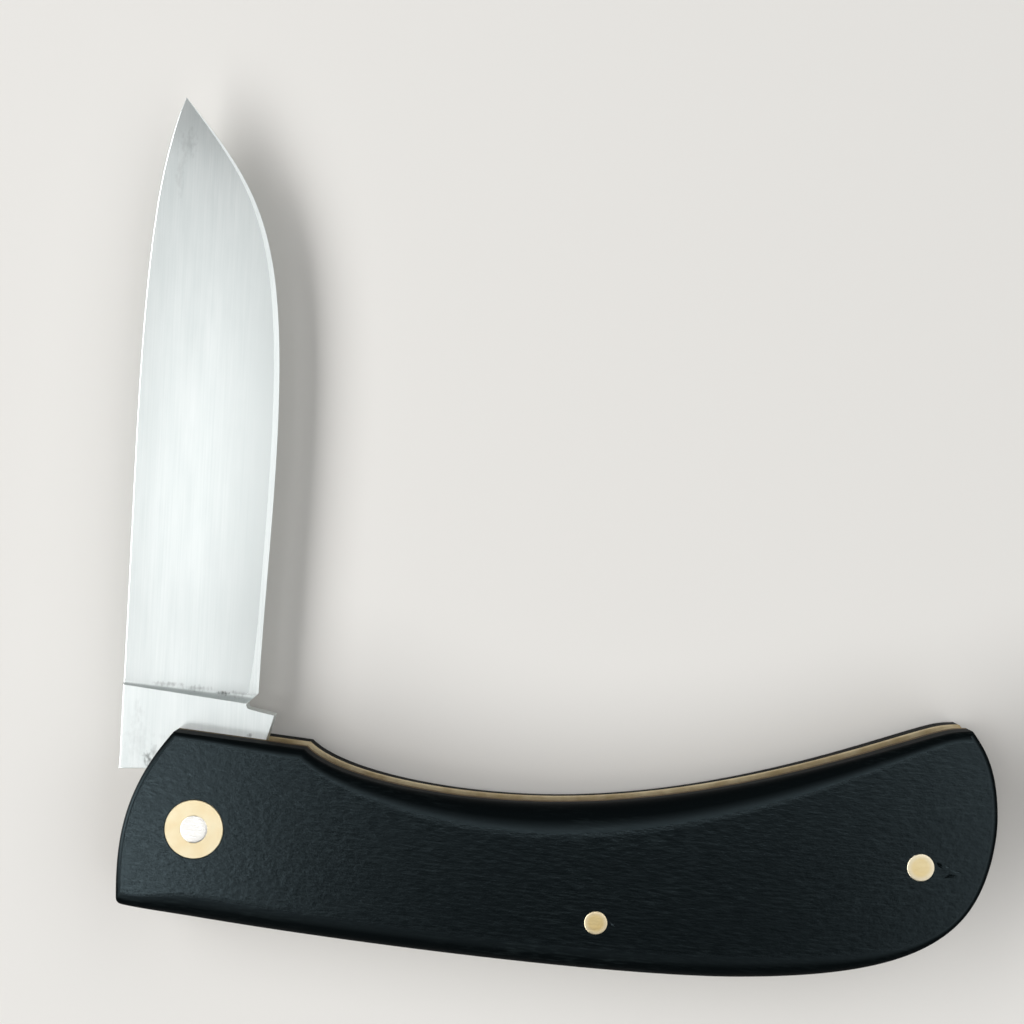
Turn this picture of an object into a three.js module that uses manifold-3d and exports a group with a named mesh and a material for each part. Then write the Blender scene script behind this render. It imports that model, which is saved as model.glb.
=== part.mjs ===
// Folding pocket knife with one blade: a slip joint with a half stop, between brass liners and
// black wood scales, held by a steel pivot pin in brass collars and by two brass pins.
// Lengths are in millimetres and angles in degrees. The knife lies on its side on z = 0, with the
// blade at its half stop: the pivot's axis is the Z axis, the handle runs along +X and the blade
// points along +Y. A reach is measured along +X from the pivot, a height or depth along Y.
import * as THREE from 'three';
import { mergeVertices } from 'three/addons/utils/BufferGeometryUtils.js';
import Module from 'manifold-3d';

// Stack of flat pieces, from the face that the knife lies on upwards
const scaleThickness = 3.5;
const linerThickness = 1;
const bladeThickness = 2.9;
const bladeSideGap = 0.05;

// Blade, drawn with its back along +X, its sharp edge towards -Y and the pivot at the origin
const bladeReach = 86.7;
const spineStraightReach = 42;
const tipDrop = 4;
const spineProud = 0.35;
const spineTipAngle = -21;
const edgeTipAngle = 41;
const heelReach = 15.7;
const heelDepth = 6.1;
const bellyReach = 46.5;
const bellyDepth = 6.85;
const spineLeanAngle = 2.8;

// Grind of the blade: full thickness at the back, then flat to a narrow bevel at the edge
const plungeReach = 16.1;
const plungeSkew = 1.5;
const plungeRunAtSpine = 0.3;
const plungeRunAtEdge = 0.6;
const spineThickness = 2.75;
const pointThickness = 1.1;
const shoulderThickness = 0.42;
const bevelWidth = 0.65;
const edgeThickness = 0.06;
const steepestGrind = 1.25;

// Tang: three flats at one distance from the pivot, a square step and a kick
const camDistance = 6.07;
const camCornerRadius = 1.2;
const stepReach = 6.58;
const kickReach = 13.3;
const kickLength = 3;
const kickRelief = 0.35;
const kickRadius = 0.25;
const notchDepth = 4.9;
const notchLength = 0.5;

// Blade angles from the half stop: closed one way, open the other
const closedAngle = -87;
const openAngle = 90;

// Back spring
const springAngle = -9;
const camGap = 0.05;
const springEndGap = 0.05;
const springFaceReach = 14.5;
const springArmThickness = 4;
const springArmStart = 25;
const springArmEnd = 37;
const springPinWall = 1.25;
const springBossLength = 10;
const springRampSetback = 20.18;
const springTailHeight = 3.4;

// Handle outline, shared by the scales, the liners and the back spring
const tipToButt = 7.48;
const toeReach = -9.2;
const toeDepth = 8;
const backStart = -8.5;
const backStartDepth = 8.95;
const backAngle = -12.5;
const keelReach = 64;
const keelDepth = 17.62;
const haunchSetback = 3.58;
const haunchDepth = 10;
const haunchAngle = 52;
const buttHeight = 1.4;
const buttTopSetback = 2.88;
const buttTopHeight = 11.4;
const buttTopAngle = 124;
const crestSetback = 5.38;
const crestHeight = 11.2;
const crestAngle = 191;
const waistReach = 43;
const waistHeight = 2.75;
const browReach = 12.9;
const browHeight = 9.3;
const browAngle = 135;
const noseReach = -2.4;
const noseHeight = 11.4;
const noseAngle = 228;

// Rounding of the scales' outer edges: how far it runs in from the outline, and its depth per width
const roundNose = 1;
const roundToe = 1;
const roundTop = 2.9;
const roundBack = 2.3;
const roundEnds = 0.5;
const roundDepthRatio = 0.85;

// Pins and collars
const pivotPinDiameter = 3.1;
const collarDiameter = 6.86;
const collarDepth = 1.5;
const springPinDiameter = 2.62;
const springPinReach = 47.05;
const springPinRise = 5.7;
const buttPinDiameter = 3.1;
const buttPinSetback = 9.08;
const buttPinDepth = 4.5;
const pinFit = 0.05;

// Facets
const roundSides = 48;
const roundingSteps = 4;
const grindStations = 24;
const overcut = 1;

// Heights of the layers, worked out from the stack
const slotWidth = bladeThickness + 2 * bladeSideGap;
const lowerLinerBase = scaleThickness;
const slotBase = lowerLinerBase + linerThickness;
const upperLinerBase = slotBase + slotWidth;
const upperScaleBase = upperLinerBase + linerThickness;
const handleThickness = upperScaleBase + scaleThickness;
const buttReach = bladeReach + tipToButt;

const wasm = await Module();
wasm.setup();

const radians = THREE.MathUtils.degToRad;
const point = (x, y) => new THREE.Vector2(x, y);
const heading = (angle) => point(Math.cos(radians(angle)), Math.sin(radians(angle)));

// Cubic curve from a to b. It leaves a and reaches b along the headings given, and holds each for
// that share of the straight distance between them.
function bend(a, leaving, hold, b, arriving, reach) {
  const chord = a.distanceTo(b);
  const first = a.clone().addScaledVector(heading(leaving), hold * chord);
  const second = b.clone().addScaledVector(heading(arriving), -reach * chord);
  return new THREE.CubicBezierCurve(a, first, second, b);
}

// Y of a curve whose x only grows or only falls, at the given x
function heightAt(curve, x) {
  const rising = curve.getPoint(1).x > curve.getPoint(0).x;
  let low = 0;
  let high = 1;
  for (let step = 0; step < 40; step += 1) {
    const middle = (low + high) / 2;
    const before = curve.getPoint(middle).x < x;
    if (before === rising) low = middle;
    else high = middle;
  }
  return curve.getPoint((low + high) / 2).y;
}

// Where two straight lines cross. Each lies square to its heading, at its distance from the origin.
function crossing(angleA, distanceA, angleB, distanceB) {
  const a = heading(angleA);
  const b = heading(angleB);
  const turn = a.cross(b);
  return point((distanceA * b.y - distanceB * a.y) / turn, (distanceB * a.x - distanceA * b.x) / turn);
}

// Points round a corner that is eased with a curve starting that far from it on each side
function easedCorner(before, corner, after, ease) {
  const start = corner.clone().add(before.clone().sub(corner).setLength(ease));
  const end = corner.clone().add(after.clone().sub(corner).setLength(ease));
  return new THREE.QuadraticBezierCurve(start, corner, end).getPoints(4);
}

// Joins lists of points into one outline and leaves out a point that repeats the one before it
function outlineOf(...lists) {
  const near = 1e-4;
  const points = [];
  for (const next of lists.flat()) {
    if (points.length === 0 || points[points.length - 1].distanceTo(next) > near) points.push(next);
  }
  if (points[0].distanceTo(points[points.length - 1]) < near) points.pop();
  return points;
}

// Closed triangle mesh as a solid. Triangles that a merge of equal points has closed up are left out.
function solidOf(geometry) {
  const bare = geometry.clone();
  bare.deleteAttribute('normal');
  bare.deleteAttribute('uv');
  const merged = mergeVertices(bare, 1e-5);
  const corners = merged.index.array;
  const kept = [];
  for (let i = 0; i < corners.length; i += 3) {
    const [a, b, c] = [corners[i], corners[i + 1], corners[i + 2]];
    if (a !== b && b !== c && c !== a) kept.push(a, b, c);
  }
  const vertProperties = Float32Array.from(merged.attributes.position.array);
  const triVerts = Uint32Array.from(kept);
  return new wasm.Manifold(new wasm.Mesh({ numProp: 3, vertProperties, triVerts }));
}

function geometryOf(solid) {
  const mesh = solid.getMesh();
  const geometry = new THREE.BufferGeometry();
  geometry.setAttribute('position', new THREE.BufferAttribute(new Float32Array(mesh.vertProperties), 3));
  geometry.setIndex(new THREE.BufferAttribute(new Uint32Array(mesh.triVerts), 1));
  geometry.computeVertexNormals();
  return geometry;
}

// Flat plate of the given outline, from z = 0 up to its thickness
function plate(points, thickness) {
  return new THREE.ExtrudeGeometry(new THREE.Shape(points), { depth: thickness, bevelEnabled: false });
}

// Upright cylinder from z = base to z = top
function cylinder(radius, x, y, base, top) {
  const geometry = new THREE.CylinderGeometry(radius, radius, top - base, roundSides);
  geometry.rotateX(Math.PI / 2);
  geometry.translate(x, y, (base + top) / 2);
  return geometry;
}

// Cutter for a round hole. Its flats touch the hole's radius, so the hole is nowhere tighter.
function drill(diameter, x, y, base, top) {
  const radius = diameter / 2 / Math.cos(Math.PI / roundSides);
  return solidOf(cylinder(radius, x, y, base, top));
}

// Triangles that fill a ring of points as seen along the view, which turns a point of the ring into a
// flat one. Their corners run round the same way as the ring does.
function fillRing(ring, view) {
  const flat = ring.map(view);
  const faces = THREE.ShapeUtils.triangulateShape(flat, []);
  return THREE.ShapeUtils.isClockWise(flat) ? faces.map(([a, b, c]) => [a, c, b]) : faces;
}

// Closed body through rings of points that match one to one. It faces outwards whichever way they run.
function loft(rings, view) {
  const count = rings[0].length;
  const faces = [];
  for (let ring = 0; ring < rings.length - 1; ring += 1) {
    for (let i = 0; i < count; i += 1) {
      const a = ring * count + i;
      const b = ring * count + ((i + 1) % count);
      faces.push([a, b, b + count], [a, b + count, a + count]);
    }
  }
  const last = (rings.length - 1) * count;
  faces.push(...fillRing(rings[0], view).map(([a, b, c]) => [a, c, b]));
  faces.push(...fillRing(rings[rings.length - 1], view).map((face) => face.map((i) => i + last)));
  const vertices = rings.flat();
  const volume = faces.reduce((sum, [a, b, c]) => (
    sum + vertices[a].dot(vertices[b].clone().cross(vertices[c]))
  ), 0);
  const outward = volume > 0 ? faces : faces.map(([a, b, c]) => [a, c, b]);
  const geometry = new THREE.BufferGeometry().setFromPoints(vertices);
  geometry.setIndex(outward.flat());
  return geometry;
}

// Handle outline in runs, anticlockwise from the toe: its curve, its number of facets, the rounding
// that the scale's outer edge has at its start and at its end, and the share of the run over which the
// rounding changes, where that isn't all of it
const toe = point(toeReach, -toeDepth);
const backCorner = point(backStart, -backStartDepth);
const keel = point(keelReach, -keelDepth);
const haunch = point(buttReach - haunchSetback, -haunchDepth);
const butt = point(buttReach, buttHeight);
const buttTop = point(buttReach - buttTopSetback, buttTopHeight);
const crest = point(buttReach - crestSetback, crestHeight);
const waist = point(waistReach, waistHeight);
const brow = point(browReach, browHeight);
const nose = point(noseReach, noseHeight);
const [right, up, left, down] = [0, 90, 180, 270];
const back = bend(backCorner, backAngle, 0.18, keel, right, 0.24);
const handleRuns = [
  [bend(toe, down, 0.4, backCorner, backAngle, 0.4), 4, roundEnds, roundEnds],
  [back, 20, roundToe, roundBack, 0.1],
  [bend(keel, right, 0.48, haunch, haunchAngle, 0.26), 12, roundBack, roundEnds],
  [bend(haunch, haunchAngle, 0.36, butt, up, 0.24), 7, roundEnds, roundEnds],
  [bend(butt, up, 0.56, buttTop, buttTopAngle, 0.22), 6, roundEnds, roundEnds],
  [bend(buttTop, left, 0.33, crest, crestAngle, 0.33), 2, roundNose, roundNose],
  [bend(crest, crestAngle, 0.11, waist, left, 0.46), 16, roundNose, roundTop],
  [bend(waist, left, 0.4, brow, browAngle, 0.18), 14, roundTop, roundNose],
  [new THREE.LineCurve(brow, nose), 4, roundNose, roundEnds],
  [bend(nose, noseAngle, 0.45, toe, down, 0.3), 12, roundEnds, roundEnds],
];

// Outline points of the handle, each with the rounding on the edge before it and on the edge after
function handlePoints() {
  const points = [];
  handleRuns.forEach(([curve, steps, from, to, changing = 1], run) => {
    const [, , , previousTo] = handleRuns[(run + handleRuns.length - 1) % handleRuns.length];
    for (let step = 0; step < steps; step += 1) {
      const share = step / steps;
      const after = THREE.MathUtils.lerp(from, to, THREE.MathUtils.smoothstep(share, 0, changing));
      const before = step === 0 ? previousTo : after;
      points.push({ at: curve.getPoint(share), before, after });
    }
  });
  return points;
}

// Moves each outline point in by a share of its rounding. Both edges at the point move in parallel to
// themselves, so a corner with a wide rounding on one side and a narrow one on the other stays a corner.
function insetOutline(points, share) {
  const cornerTurn = 0.3;
  return points.map(({ at, before, after }, i) => {
    const last = points[(i + points.length - 1) % points.length].at;
    const next = points[(i + 1) % points.length].at;
    const edgeIn = at.clone().sub(last).normalize();
    const edgeOut = next.clone().sub(at).normalize();
    const inwardBefore = point(-edgeIn.y, edgeIn.x);
    const inwardAfter = point(-edgeOut.y, edgeOut.x);
    const turn = edgeIn.cross(edgeOut);
    if (Math.abs(turn) < cornerTurn) {
      const inward = inwardBefore.clone().add(inwardAfter).normalize();
      return at.clone().addScaledVector(inward, share * (before + after) / 2);
    }
    const shift = edgeIn.clone().multiplyScalar(-share * after / turn);
    return shift.addScaledVector(edgeOut, share * before / turn).add(at);
  });
}

// Pin positions. The spring's pin keeps its height above the handle's back.
const pivotAt = point(0, 0);
const springPinAt = point(springPinReach, heightAt(back, springPinReach) + springPinRise);
const buttPinAt = point(buttReach - buttPinSetback, -buttPinDepth);
const pinHoles = [
  { at: pivotAt, diameter: pivotPinDiameter + 2 * pinFit },
  { at: springPinAt, diameter: springPinDiameter + 2 * pinFit },
  { at: buttPinAt, diameter: buttPinDiameter + 2 * pinFit },
];

// Drills the holes through a piece that reaches from z = base to z = top
function drilled(solid, holes, base, top) {
  return holes.reduce((piece, { at, diameter }) => (
    piece.subtract(drill(diameter, at.x, at.y, base - overcut, top + overcut))
  ), solid);
}

// Scale: a slab with a flat outer face, whose edge is rounded over by an elliptic quarter that widens
// and narrows along the outline. Its outer face has a round recess for the collar.
function makeScale(side) {
  const points = handlePoints();
  const ring = (share, rise) => {
    const flat = insetOutline(points, share);
    return flat.map(({ x, y }, i) => {
      const rounding = (points[i].before + points[i].after) / 2;
      return new THREE.Vector3(x, y, side * (scaleThickness - rounding * roundDepthRatio * (1 - rise)));
    });
  };
  const rings = [points.map(({ at }) => new THREE.Vector3(at.x, at.y, 0))];
  for (let step = 0; step <= roundingSteps; step += 1) {
    const angle = (step / roundingSteps) * (Math.PI / 2);
    rings.push(ring(1 - Math.cos(angle), Math.sin(angle)));
  }
  const slab = solidOf(loft(rings, ({ x, y }) => point(x, y)));
  const [base, top] = [Math.min(0, side * scaleThickness), Math.max(0, side * scaleThickness)];
  const floor = side * (scaleThickness - collarDepth);
  const mouth = side * (scaleThickness + overcut);
  const recess = drill(collarDiameter + 2 * pinFit, 0, 0, Math.min(floor, mouth), Math.max(floor, mouth));
  return geometryOf(drilled(slab, pinHoles, base, top).subtract(recess));
}

function makeLiner() {
  const outline = handlePoints().map(({ at }) => at);
  return geometryOf(drilled(solidOf(plate(outline, linerThickness)), pinHoles, 0, linerThickness));
}

// The spring's working face is a straight line that the tang's flats meet in turn
const springNormal = 270 + springAngle;
function springFaceAt(x) {
  const normal = heading(springNormal);
  return (camDistance + camGap - x * normal.x) / normal.y;
}

// Back spring: the handle's outline below an inner line, which is the working face, the thin arm that
// bends, the boss round the spring's pin and the long ramp up to the butt
function makeSpring() {
  const endX = -(stepReach - springEndGap);
  const face = [point(endX, springFaceAt(endX)), point(springFaceReach, springFaceAt(springFaceReach))];
  const armAt = (x) => point(x, heightAt(back, x) + springArmThickness);
  const bossTop = springPinAt.y + springPinDiameter / 2 + springPinWall;
  const boss = [-1, 1].map((end) => point(springPinReach + end * springBossLength / 2, bossTop));
  const intoArm = bend(face[1], springAngle, 0.35, armAt(springArmStart), springAngle, 0.35);
  const intoBoss = bend(armAt(springArmEnd), 0, 0.4, boss[0], 0, 0.4);
  const tail = point(buttReach + overcut, springTailHeight);
  const ramp = new THREE.QuadraticBezierCurve(boss[1], point(buttReach - springRampSetback, bossTop), tail);
  const floor = -(keelDepth + overcut);
  const inside = outlineOf(
    face, intoArm.getPoints(6), intoBoss.getPoints(6), ramp.getPoints(14),
    [point(buttReach + overcut, floor), point(endX, floor)],
  ).reverse();
  const outline = handlePoints().map(({ at }) => at);
  const blank = solidOf(plate(outline, slotWidth));
  const profile = plate(inside, slotWidth + 2 * overcut).translate(0, 0, -overcut);
  const spring = blank.intersect(solidOf(profile));
  return geometryOf(drilled(spring, pinHoles.slice(1), 0, slotWidth));
}

// Blade lines. Its back stands a little proud of the handle's back when it is open, which sets how far
// from the pivot it lies.
const bladeRestTurn = 90 - spineLeanAngle;
const openSpineNormal = 270 - spineLeanAngle;
const backAtStep = point(-stepReach, heightAt(back, -stepReach));
const spineDistance = backAtStep.dot(heading(openSpineNormal)) + spineProud;
const tip = point(bladeReach, spineDistance - tipDrop);
const spineEnd = point(spineStraightReach, spineDistance);
const heel = point(heelReach, -heelDepth);
const belly = point(bellyReach, -bellyDepth);
const spineCurve = bend(spineEnd, 0, 0.56, tip, spineTipAngle, 0.19);
const heelCurve = bend(heel, 0, 0.26, belly, 0, 0.33);
const bellyCurve = bend(belly, 0, 0.6, tip, edgeTipAngle, 0.33);
const spineAt = (x) => (x <= spineStraightReach ? spineDistance : heightAt(spineCurve, x));
const edgeAt = (x) => heightAt(x < bellyReach ? heelCurve : bellyCurve, x);

// Reaches at which the ground part of the blade is worked out, close together towards the tip
function bladeStations() {
  return Array.from({ length: grindStations + 1 }, (_, i) => (
    heelReach + (bladeReach - heelReach) * Math.sin((i / grindStations) * (Math.PI / 2))
  ));
}

// Heading, in the blade's own frame, of the tang flat that meets the spring after the given turn
const flatHeading = (turn) => springNormal - bladeRestTurn - turn;

// Outline of the blade and tang: flats square to the spring's face at the half stop and when open, a
// relieved closed side that ends in the kick, a notch behind the edge, and the square step that the
// spring's end meets when the blade is open
function bladePoints() {
  const stepHeading = 90 - bladeRestTurn;
  const rearLower = crossing(flatHeading(0), camDistance, flatHeading(closedAngle), camDistance - kickRelief);
  const rearUpper = crossing(flatHeading(0), camDistance, flatHeading(openAngle), camDistance);
  const stepInner = crossing(stepHeading, stepReach, flatHeading(openAngle), camDistance);
  const stepOuter = crossing(stepHeading, stepReach, 90, spineDistance);
  const closedNormal = heading(flatHeading(closedAngle));
  const kick = point(kickReach, (camDistance - kickReach * closedNormal.x) / closedNormal.y);
  const notchEnd = point(heelReach - (heelDepth - notchDepth), -notchDepth);
  const notchStart = point(notchEnd.x - notchLength, -notchDepth);
  const relievedBack = kickReach - kickLength;
  const kickBack = point(
    relievedBack,
    (camDistance - kickRelief - relievedBack * closedNormal.x) / closedNormal.y,
  );
  const stations = bladeStations();
  return outlineOf(
    easedCorner(rearUpper, rearLower, kickBack, camCornerRadius),
    [kickBack],
    easedCorner(kickBack, kick, notchStart, kickRadius),
    [notchStart, notchEnd],
    stations.map((x) => point(x, edgeAt(x))),
    stations.slice(0, -1).reverse().map((x) => point(x, spineAt(x))),
    [stepOuter, stepInner],
    easedCorner(stepInner, rearUpper, rearLower, camCornerRadius),
  );
}

// What the grinder takes off one side: everything above the flat that falls from the back to the
// bevel's shoulder and above the bevel, from the plunge line to past the tip. The flat gets only a
// little steeper than it is at the heel, so the back thins out where the blade narrows to its tip.
function grinding() {
  const halfBlade = bladeThickness / 2;
  const halfShoulder = shoulderThickness / 2;
  const heelSlope = (halfBlade - halfShoulder) / (spineAt(heelReach) - edgeAt(heelReach));
  const top = halfBlade + overcut;
  const section = (spineX, edgeX, shiftX, lift) => {
    const spine = spineAt(spineX);
    const edge = edgeAt(Math.max(edgeX, heelReach));
    const shoulder = Math.min(edge + bevelWidth, spine);
    const along = (spineX - plungeReach) / (bladeReach - plungeReach);
    const tapered = THREE.MathUtils.lerp(spineThickness, pointThickness, along) / 2;
    const back = Math.min(tapered, halfShoulder + steepestGrind * heelSlope * (spine - shoulder));
    const heights = [back, back, halfShoulder, edgeThickness / 2, edgeThickness / 2];
    const [h0, h1, h2, h3, h4] = heights.map((height) => (lift > 0 ? halfBlade + lift : height));
    const corners = [
      [spineX, spine + overcut, h0], [spineX, spine, h1], [edgeX, shoulder, h2], [edgeX, edge, h3],
      [edgeX, edge - overcut, h4], [edgeX, edge - overcut, top], [spineX, spine + overcut, top],
    ];
    return corners.map(([x, y, z]) => new THREE.Vector3(x + shiftX, y, z));
  };
  const edgeStart = plungeReach - plungeSkew;
  const clearOfFace = 0.01;
  const stations = bladeStations().slice(1);
  const rings = [
    section(plungeReach, edgeStart, 0, clearOfFace),
    section(plungeReach + plungeRunAtSpine, edgeStart + plungeRunAtEdge, 0, 0),
    ...stations.map((x) => section(x, x, 0, 0)),
    section(bladeReach, bladeReach, overcut, 0),
  ];
  return loft(rings, ({ y, z }) => point(y, z));
}

function makeBlade() {
  const bore = { at: pivotAt, diameter: pivotPinDiameter + 2 * pinFit };
  const blank = solidOf(plate(bladePoints(), bladeThickness).translate(0, 0, -bladeThickness / 2));
  const upperGrind = solidOf(grinding());
  const lowerGrind = upperGrind.scale([1, 1, -1]);
  const ground = blank.subtract(upperGrind).subtract(lowerGrind);
  return geometryOf(drilled(ground, [bore], -bladeThickness / 2, bladeThickness / 2));
}

function makeCollar() {
  const ring = solidOf(cylinder(collarDiameter / 2, 0, 0, 0, collarDepth));
  const bore = { at: pivotAt, diameter: pivotPinDiameter + 2 * pinFit };
  return geometryOf(drilled(ring, [bore], 0, collarDepth));
}

const finish = (color, roughness, metalness) => (
  new THREE.MeshStandardMaterial({ color, roughness, metalness })
);
const satinSteel = finish('#b9bcbd', 0.35, 1);
const brightSteel = finish('#dcdad2', 0.22, 1);
const brass = finish('#d9b467', 0.3, 1);
const blackWood = finish('#17191b', 0.5, 0);

function named(name, geometry, material, x, y, z) {
  const mesh = new THREE.Mesh(geometry, material.clone());
  mesh.name = name;
  mesh.position.set(x, y, z);
  return mesh;
}

const knife = new THREE.Group();
const pin = (diameter) => cylinder(diameter / 2, 0, 0, 0, handleThickness);
knife.add(
  named('lower_scale', makeScale(-1), blackWood, 0, 0, scaleThickness),
  named('lower_liner', makeLiner(), brass, 0, 0, lowerLinerBase),
  named('back_spring', makeSpring(), satinSteel, 0, 0, slotBase),
  named('upper_liner', makeLiner(), brass, 0, 0, upperLinerBase),
  named('upper_scale', makeScale(1), blackWood, 0, 0, upperScaleBase),
  named('lower_collar', makeCollar(), brass, 0, 0, 0),
  named('upper_collar', makeCollar(), brass, 0, 0, handleThickness - collarDepth),
  named('pivot_pin', pin(pivotPinDiameter), brightSteel, pivotAt.x, pivotAt.y, 0),
  named('spring_pin', pin(springPinDiameter), brass, springPinAt.x, springPinAt.y, 0),
  named('butt_pin', pin(buttPinDiameter), brass, buttPinAt.x, buttPinAt.y, 0),
);

// The blade turns about the pivot, and stands at its half stop
const bladeSwing = new THREE.Group();
bladeSwing.rotation.z = radians(bladeRestTurn);
bladeSwing.add(named('blade', makeBlade(), satinSteel, 0, 0, slotBase + slotWidth / 2));
knife.add(bladeSwing);

export default knife;
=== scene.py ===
# %% [markdown]
# # A folding pocket knife, piece by piece
# The knife lies on its side with the blade at its half stop. Its parts are thin plates held by three
# pins: wood, brass, steel, brass, wood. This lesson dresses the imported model. It builds each plate
# again as a smooth surface that is worked out with numpy, and gives each one the finish that its
# real material has.
#
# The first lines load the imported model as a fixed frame. Everything after them stays in that frame,
# in metres, so a piece goes exactly where the model says.

import bmesh
import bpy
import numpy as np
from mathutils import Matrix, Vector
from mathutils.geometry import tessellate_polygon


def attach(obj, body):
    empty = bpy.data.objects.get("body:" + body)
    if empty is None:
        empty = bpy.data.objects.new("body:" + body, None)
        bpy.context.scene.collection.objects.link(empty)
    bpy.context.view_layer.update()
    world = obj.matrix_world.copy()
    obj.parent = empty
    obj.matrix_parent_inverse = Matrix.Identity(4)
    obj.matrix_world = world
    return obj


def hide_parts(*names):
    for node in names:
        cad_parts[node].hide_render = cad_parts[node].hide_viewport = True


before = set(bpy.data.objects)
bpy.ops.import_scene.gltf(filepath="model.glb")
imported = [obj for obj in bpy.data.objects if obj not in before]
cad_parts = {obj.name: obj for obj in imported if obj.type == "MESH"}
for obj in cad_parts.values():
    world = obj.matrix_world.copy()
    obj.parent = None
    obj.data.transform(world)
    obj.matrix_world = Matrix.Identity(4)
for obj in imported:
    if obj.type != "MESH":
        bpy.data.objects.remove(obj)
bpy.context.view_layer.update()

# %% [markdown]
# ## Sizes
# All drawing is done in millimetres, because that is how a knife is measured, and is turned into
# metres only when a mesh is made. These are the same sizes that the solids have.

# %% Sizes in millimetres
MM = 0.001
SCALE_THICKNESS = 3.5
LINER_THICKNESS = 1.0
SLOT_WIDTH = 3.0
HANDLE_THICKNESS = 2 * (SCALE_THICKNESS + LINER_THICKNESS) + SLOT_WIDTH
MIDDLE = HANDLE_THICKNESS / 2
SLOT_BASE = SCALE_THICKNESS + LINER_THICKNESS
UPPER_LINER_BASE = SLOT_BASE + SLOT_WIDTH
UPPER_SCALE_BASE = UPPER_LINER_BASE + LINER_THICKNESS
BLADE_HALF = 1.45
BUTT_REACH = 94.18
PIN_FIT = 0.05
print("the handle is", HANDLE_THICKNESS, "mm thick")

# %% [markdown]
# ## Curves
# Every outline of the knife is a chain of cubic curves. A curve leaves its start in one direction and
# reaches its end in another, and it holds each direction for a share of the straight distance. That
# is how a knife maker thinks of a line: where it starts, where it ends, and how it leaves and arrives.

# %% Curve helpers
def heading(angle):
    """Unit vector at an angle in degrees, anticlockwise from +X."""
    turn = np.radians(angle)
    return np.array([np.cos(turn), np.sin(turn)])


def bend(start, leaving, hold, end, arriving, reach, steps):
    """Points of a cubic curve: each point is the mean of the start, two guide points and the end,
    weighted by the four terms of (1 - t + t) cubed, for t from 0 to 1."""
    start, end = np.array(start, float), np.array(end, float)
    chord = np.linalg.norm(end - start)
    first = start + hold * chord * heading(leaving)
    second = end - reach * chord * heading(arriving)
    t = np.linspace(0, 1, steps + 1)[:, None]
    return ((1 - t) ** 3 * start + 3 * (1 - t) ** 2 * t * first
            + 3 * (1 - t) * t ** 2 * second + t ** 3 * end)


def parabola(start, pull, end, steps):
    """Points (1 - t)^2 * start + 2 (1 - t) t * pull + t^2 * end, for t from 0 to 1."""
    t = np.linspace(0, 1, steps + 1)[:, None]
    return (1 - t) ** 2 * start + 2 * (1 - t) * t * pull + t ** 2 * end


def straight(start, end, steps):
    """Points at even steps along a straight line."""
    return np.linspace(start, end, steps + 1)


def crossing(angle_a, distance_a, angle_b, distance_b):
    """Where two lines cross. Each lies square to its heading at its distance from the origin, so the
    point solves two equations: point . heading = distance."""
    return np.linalg.solve([heading(angle_a), heading(angle_b)], [distance_a, distance_b])


def eased_corner(before, corner, after, ease, steps=6):
    """A corner cut by a parabola that starts and ends at the distance ease from it."""
    before, corner, after = (np.array(p, float) for p in (before, corner, after))
    start = corner + ease * (before - corner) / np.linalg.norm(before - corner)
    end = corner + ease * (after - corner) / np.linalg.norm(after - corner)
    return parabola(start, corner, end, steps)


def circle(centre, radius, count=96):
    """Points round a circle, anticlockwise."""
    turn = np.linspace(0, 2 * np.pi, count, endpoint=False)
    return np.array(centre) + radius * np.stack([np.cos(turn), np.sin(turn)], 1)


def joined(*chains):
    """Chains of points end to end as one closed ring. Each chain's last point is left out, because the
    next chain starts with it."""
    return np.concatenate([chain[:-1] for chain in chains])


print("a quarter turn by bend:", bend((1, 0), 90, 0.39, (0, 1), 180, 0.39, 2).round(3).tolist())

# %% [markdown]
# An outline is also moved inwards, to round or to break an edge. On a smooth stretch each point goes
# along the mean normal. At a corner both edges move in parallel to themselves, and the point goes to
# where they cross.

# %% Moving an outline inwards
CORNER_TURN = 0.3


def inset(ring, before, after):
    """Moves each point of an anticlockwise ring inwards by the widths of the edges before and after it.
    Two edges meet in a corner where the sine of their turn is over CORNER_TURN. The corner then moves
    by (edge after * width before - edge before * width after) / sine."""
    edge_in = ring - np.roll(ring, 1, axis=0)
    edge_out = np.roll(ring, -1, axis=0) - ring
    edge_in /= np.linalg.norm(edge_in, axis=1)[:, None]
    edge_out /= np.linalg.norm(edge_out, axis=1)[:, None]
    turn = edge_in[:, 0] * edge_out[:, 1] - edge_in[:, 1] * edge_out[:, 0]
    normals = np.stack([-(edge_in + edge_out)[:, 1], (edge_in + edge_out)[:, 0]], 1)
    normals /= np.linalg.norm(normals, axis=1)[:, None]
    smooth = normals * ((before + after) / 2)[:, None]
    gentle = np.abs(turn) < CORNER_TURN
    sine = np.where(gentle, 1, turn)
    corner = (edge_out * before[:, None] - edge_in * after[:, None]) / sine[:, None]
    return ring + np.where(gentle[:, None], smooth, corner)


square = np.array([(0, 0), (2, 0), (2, 2), (0, 2)], float)
print("a square inset by 0.5:", inset(square, np.full(4, 0.5), np.full(4, 0.5)).tolist())

# %% [markdown]
# ## Skins
# A piece is a closed skin. Rings of points are laid one beside another and joined by bands of quads,
# and a flat face is filled with triangles between its outer ring and its holes. Every face belongs to
# a named patch. Shading runs smoothly inside a patch, and there is a crisp edge where two patches
# meet, as on a part that was ground one face at a time.

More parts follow.
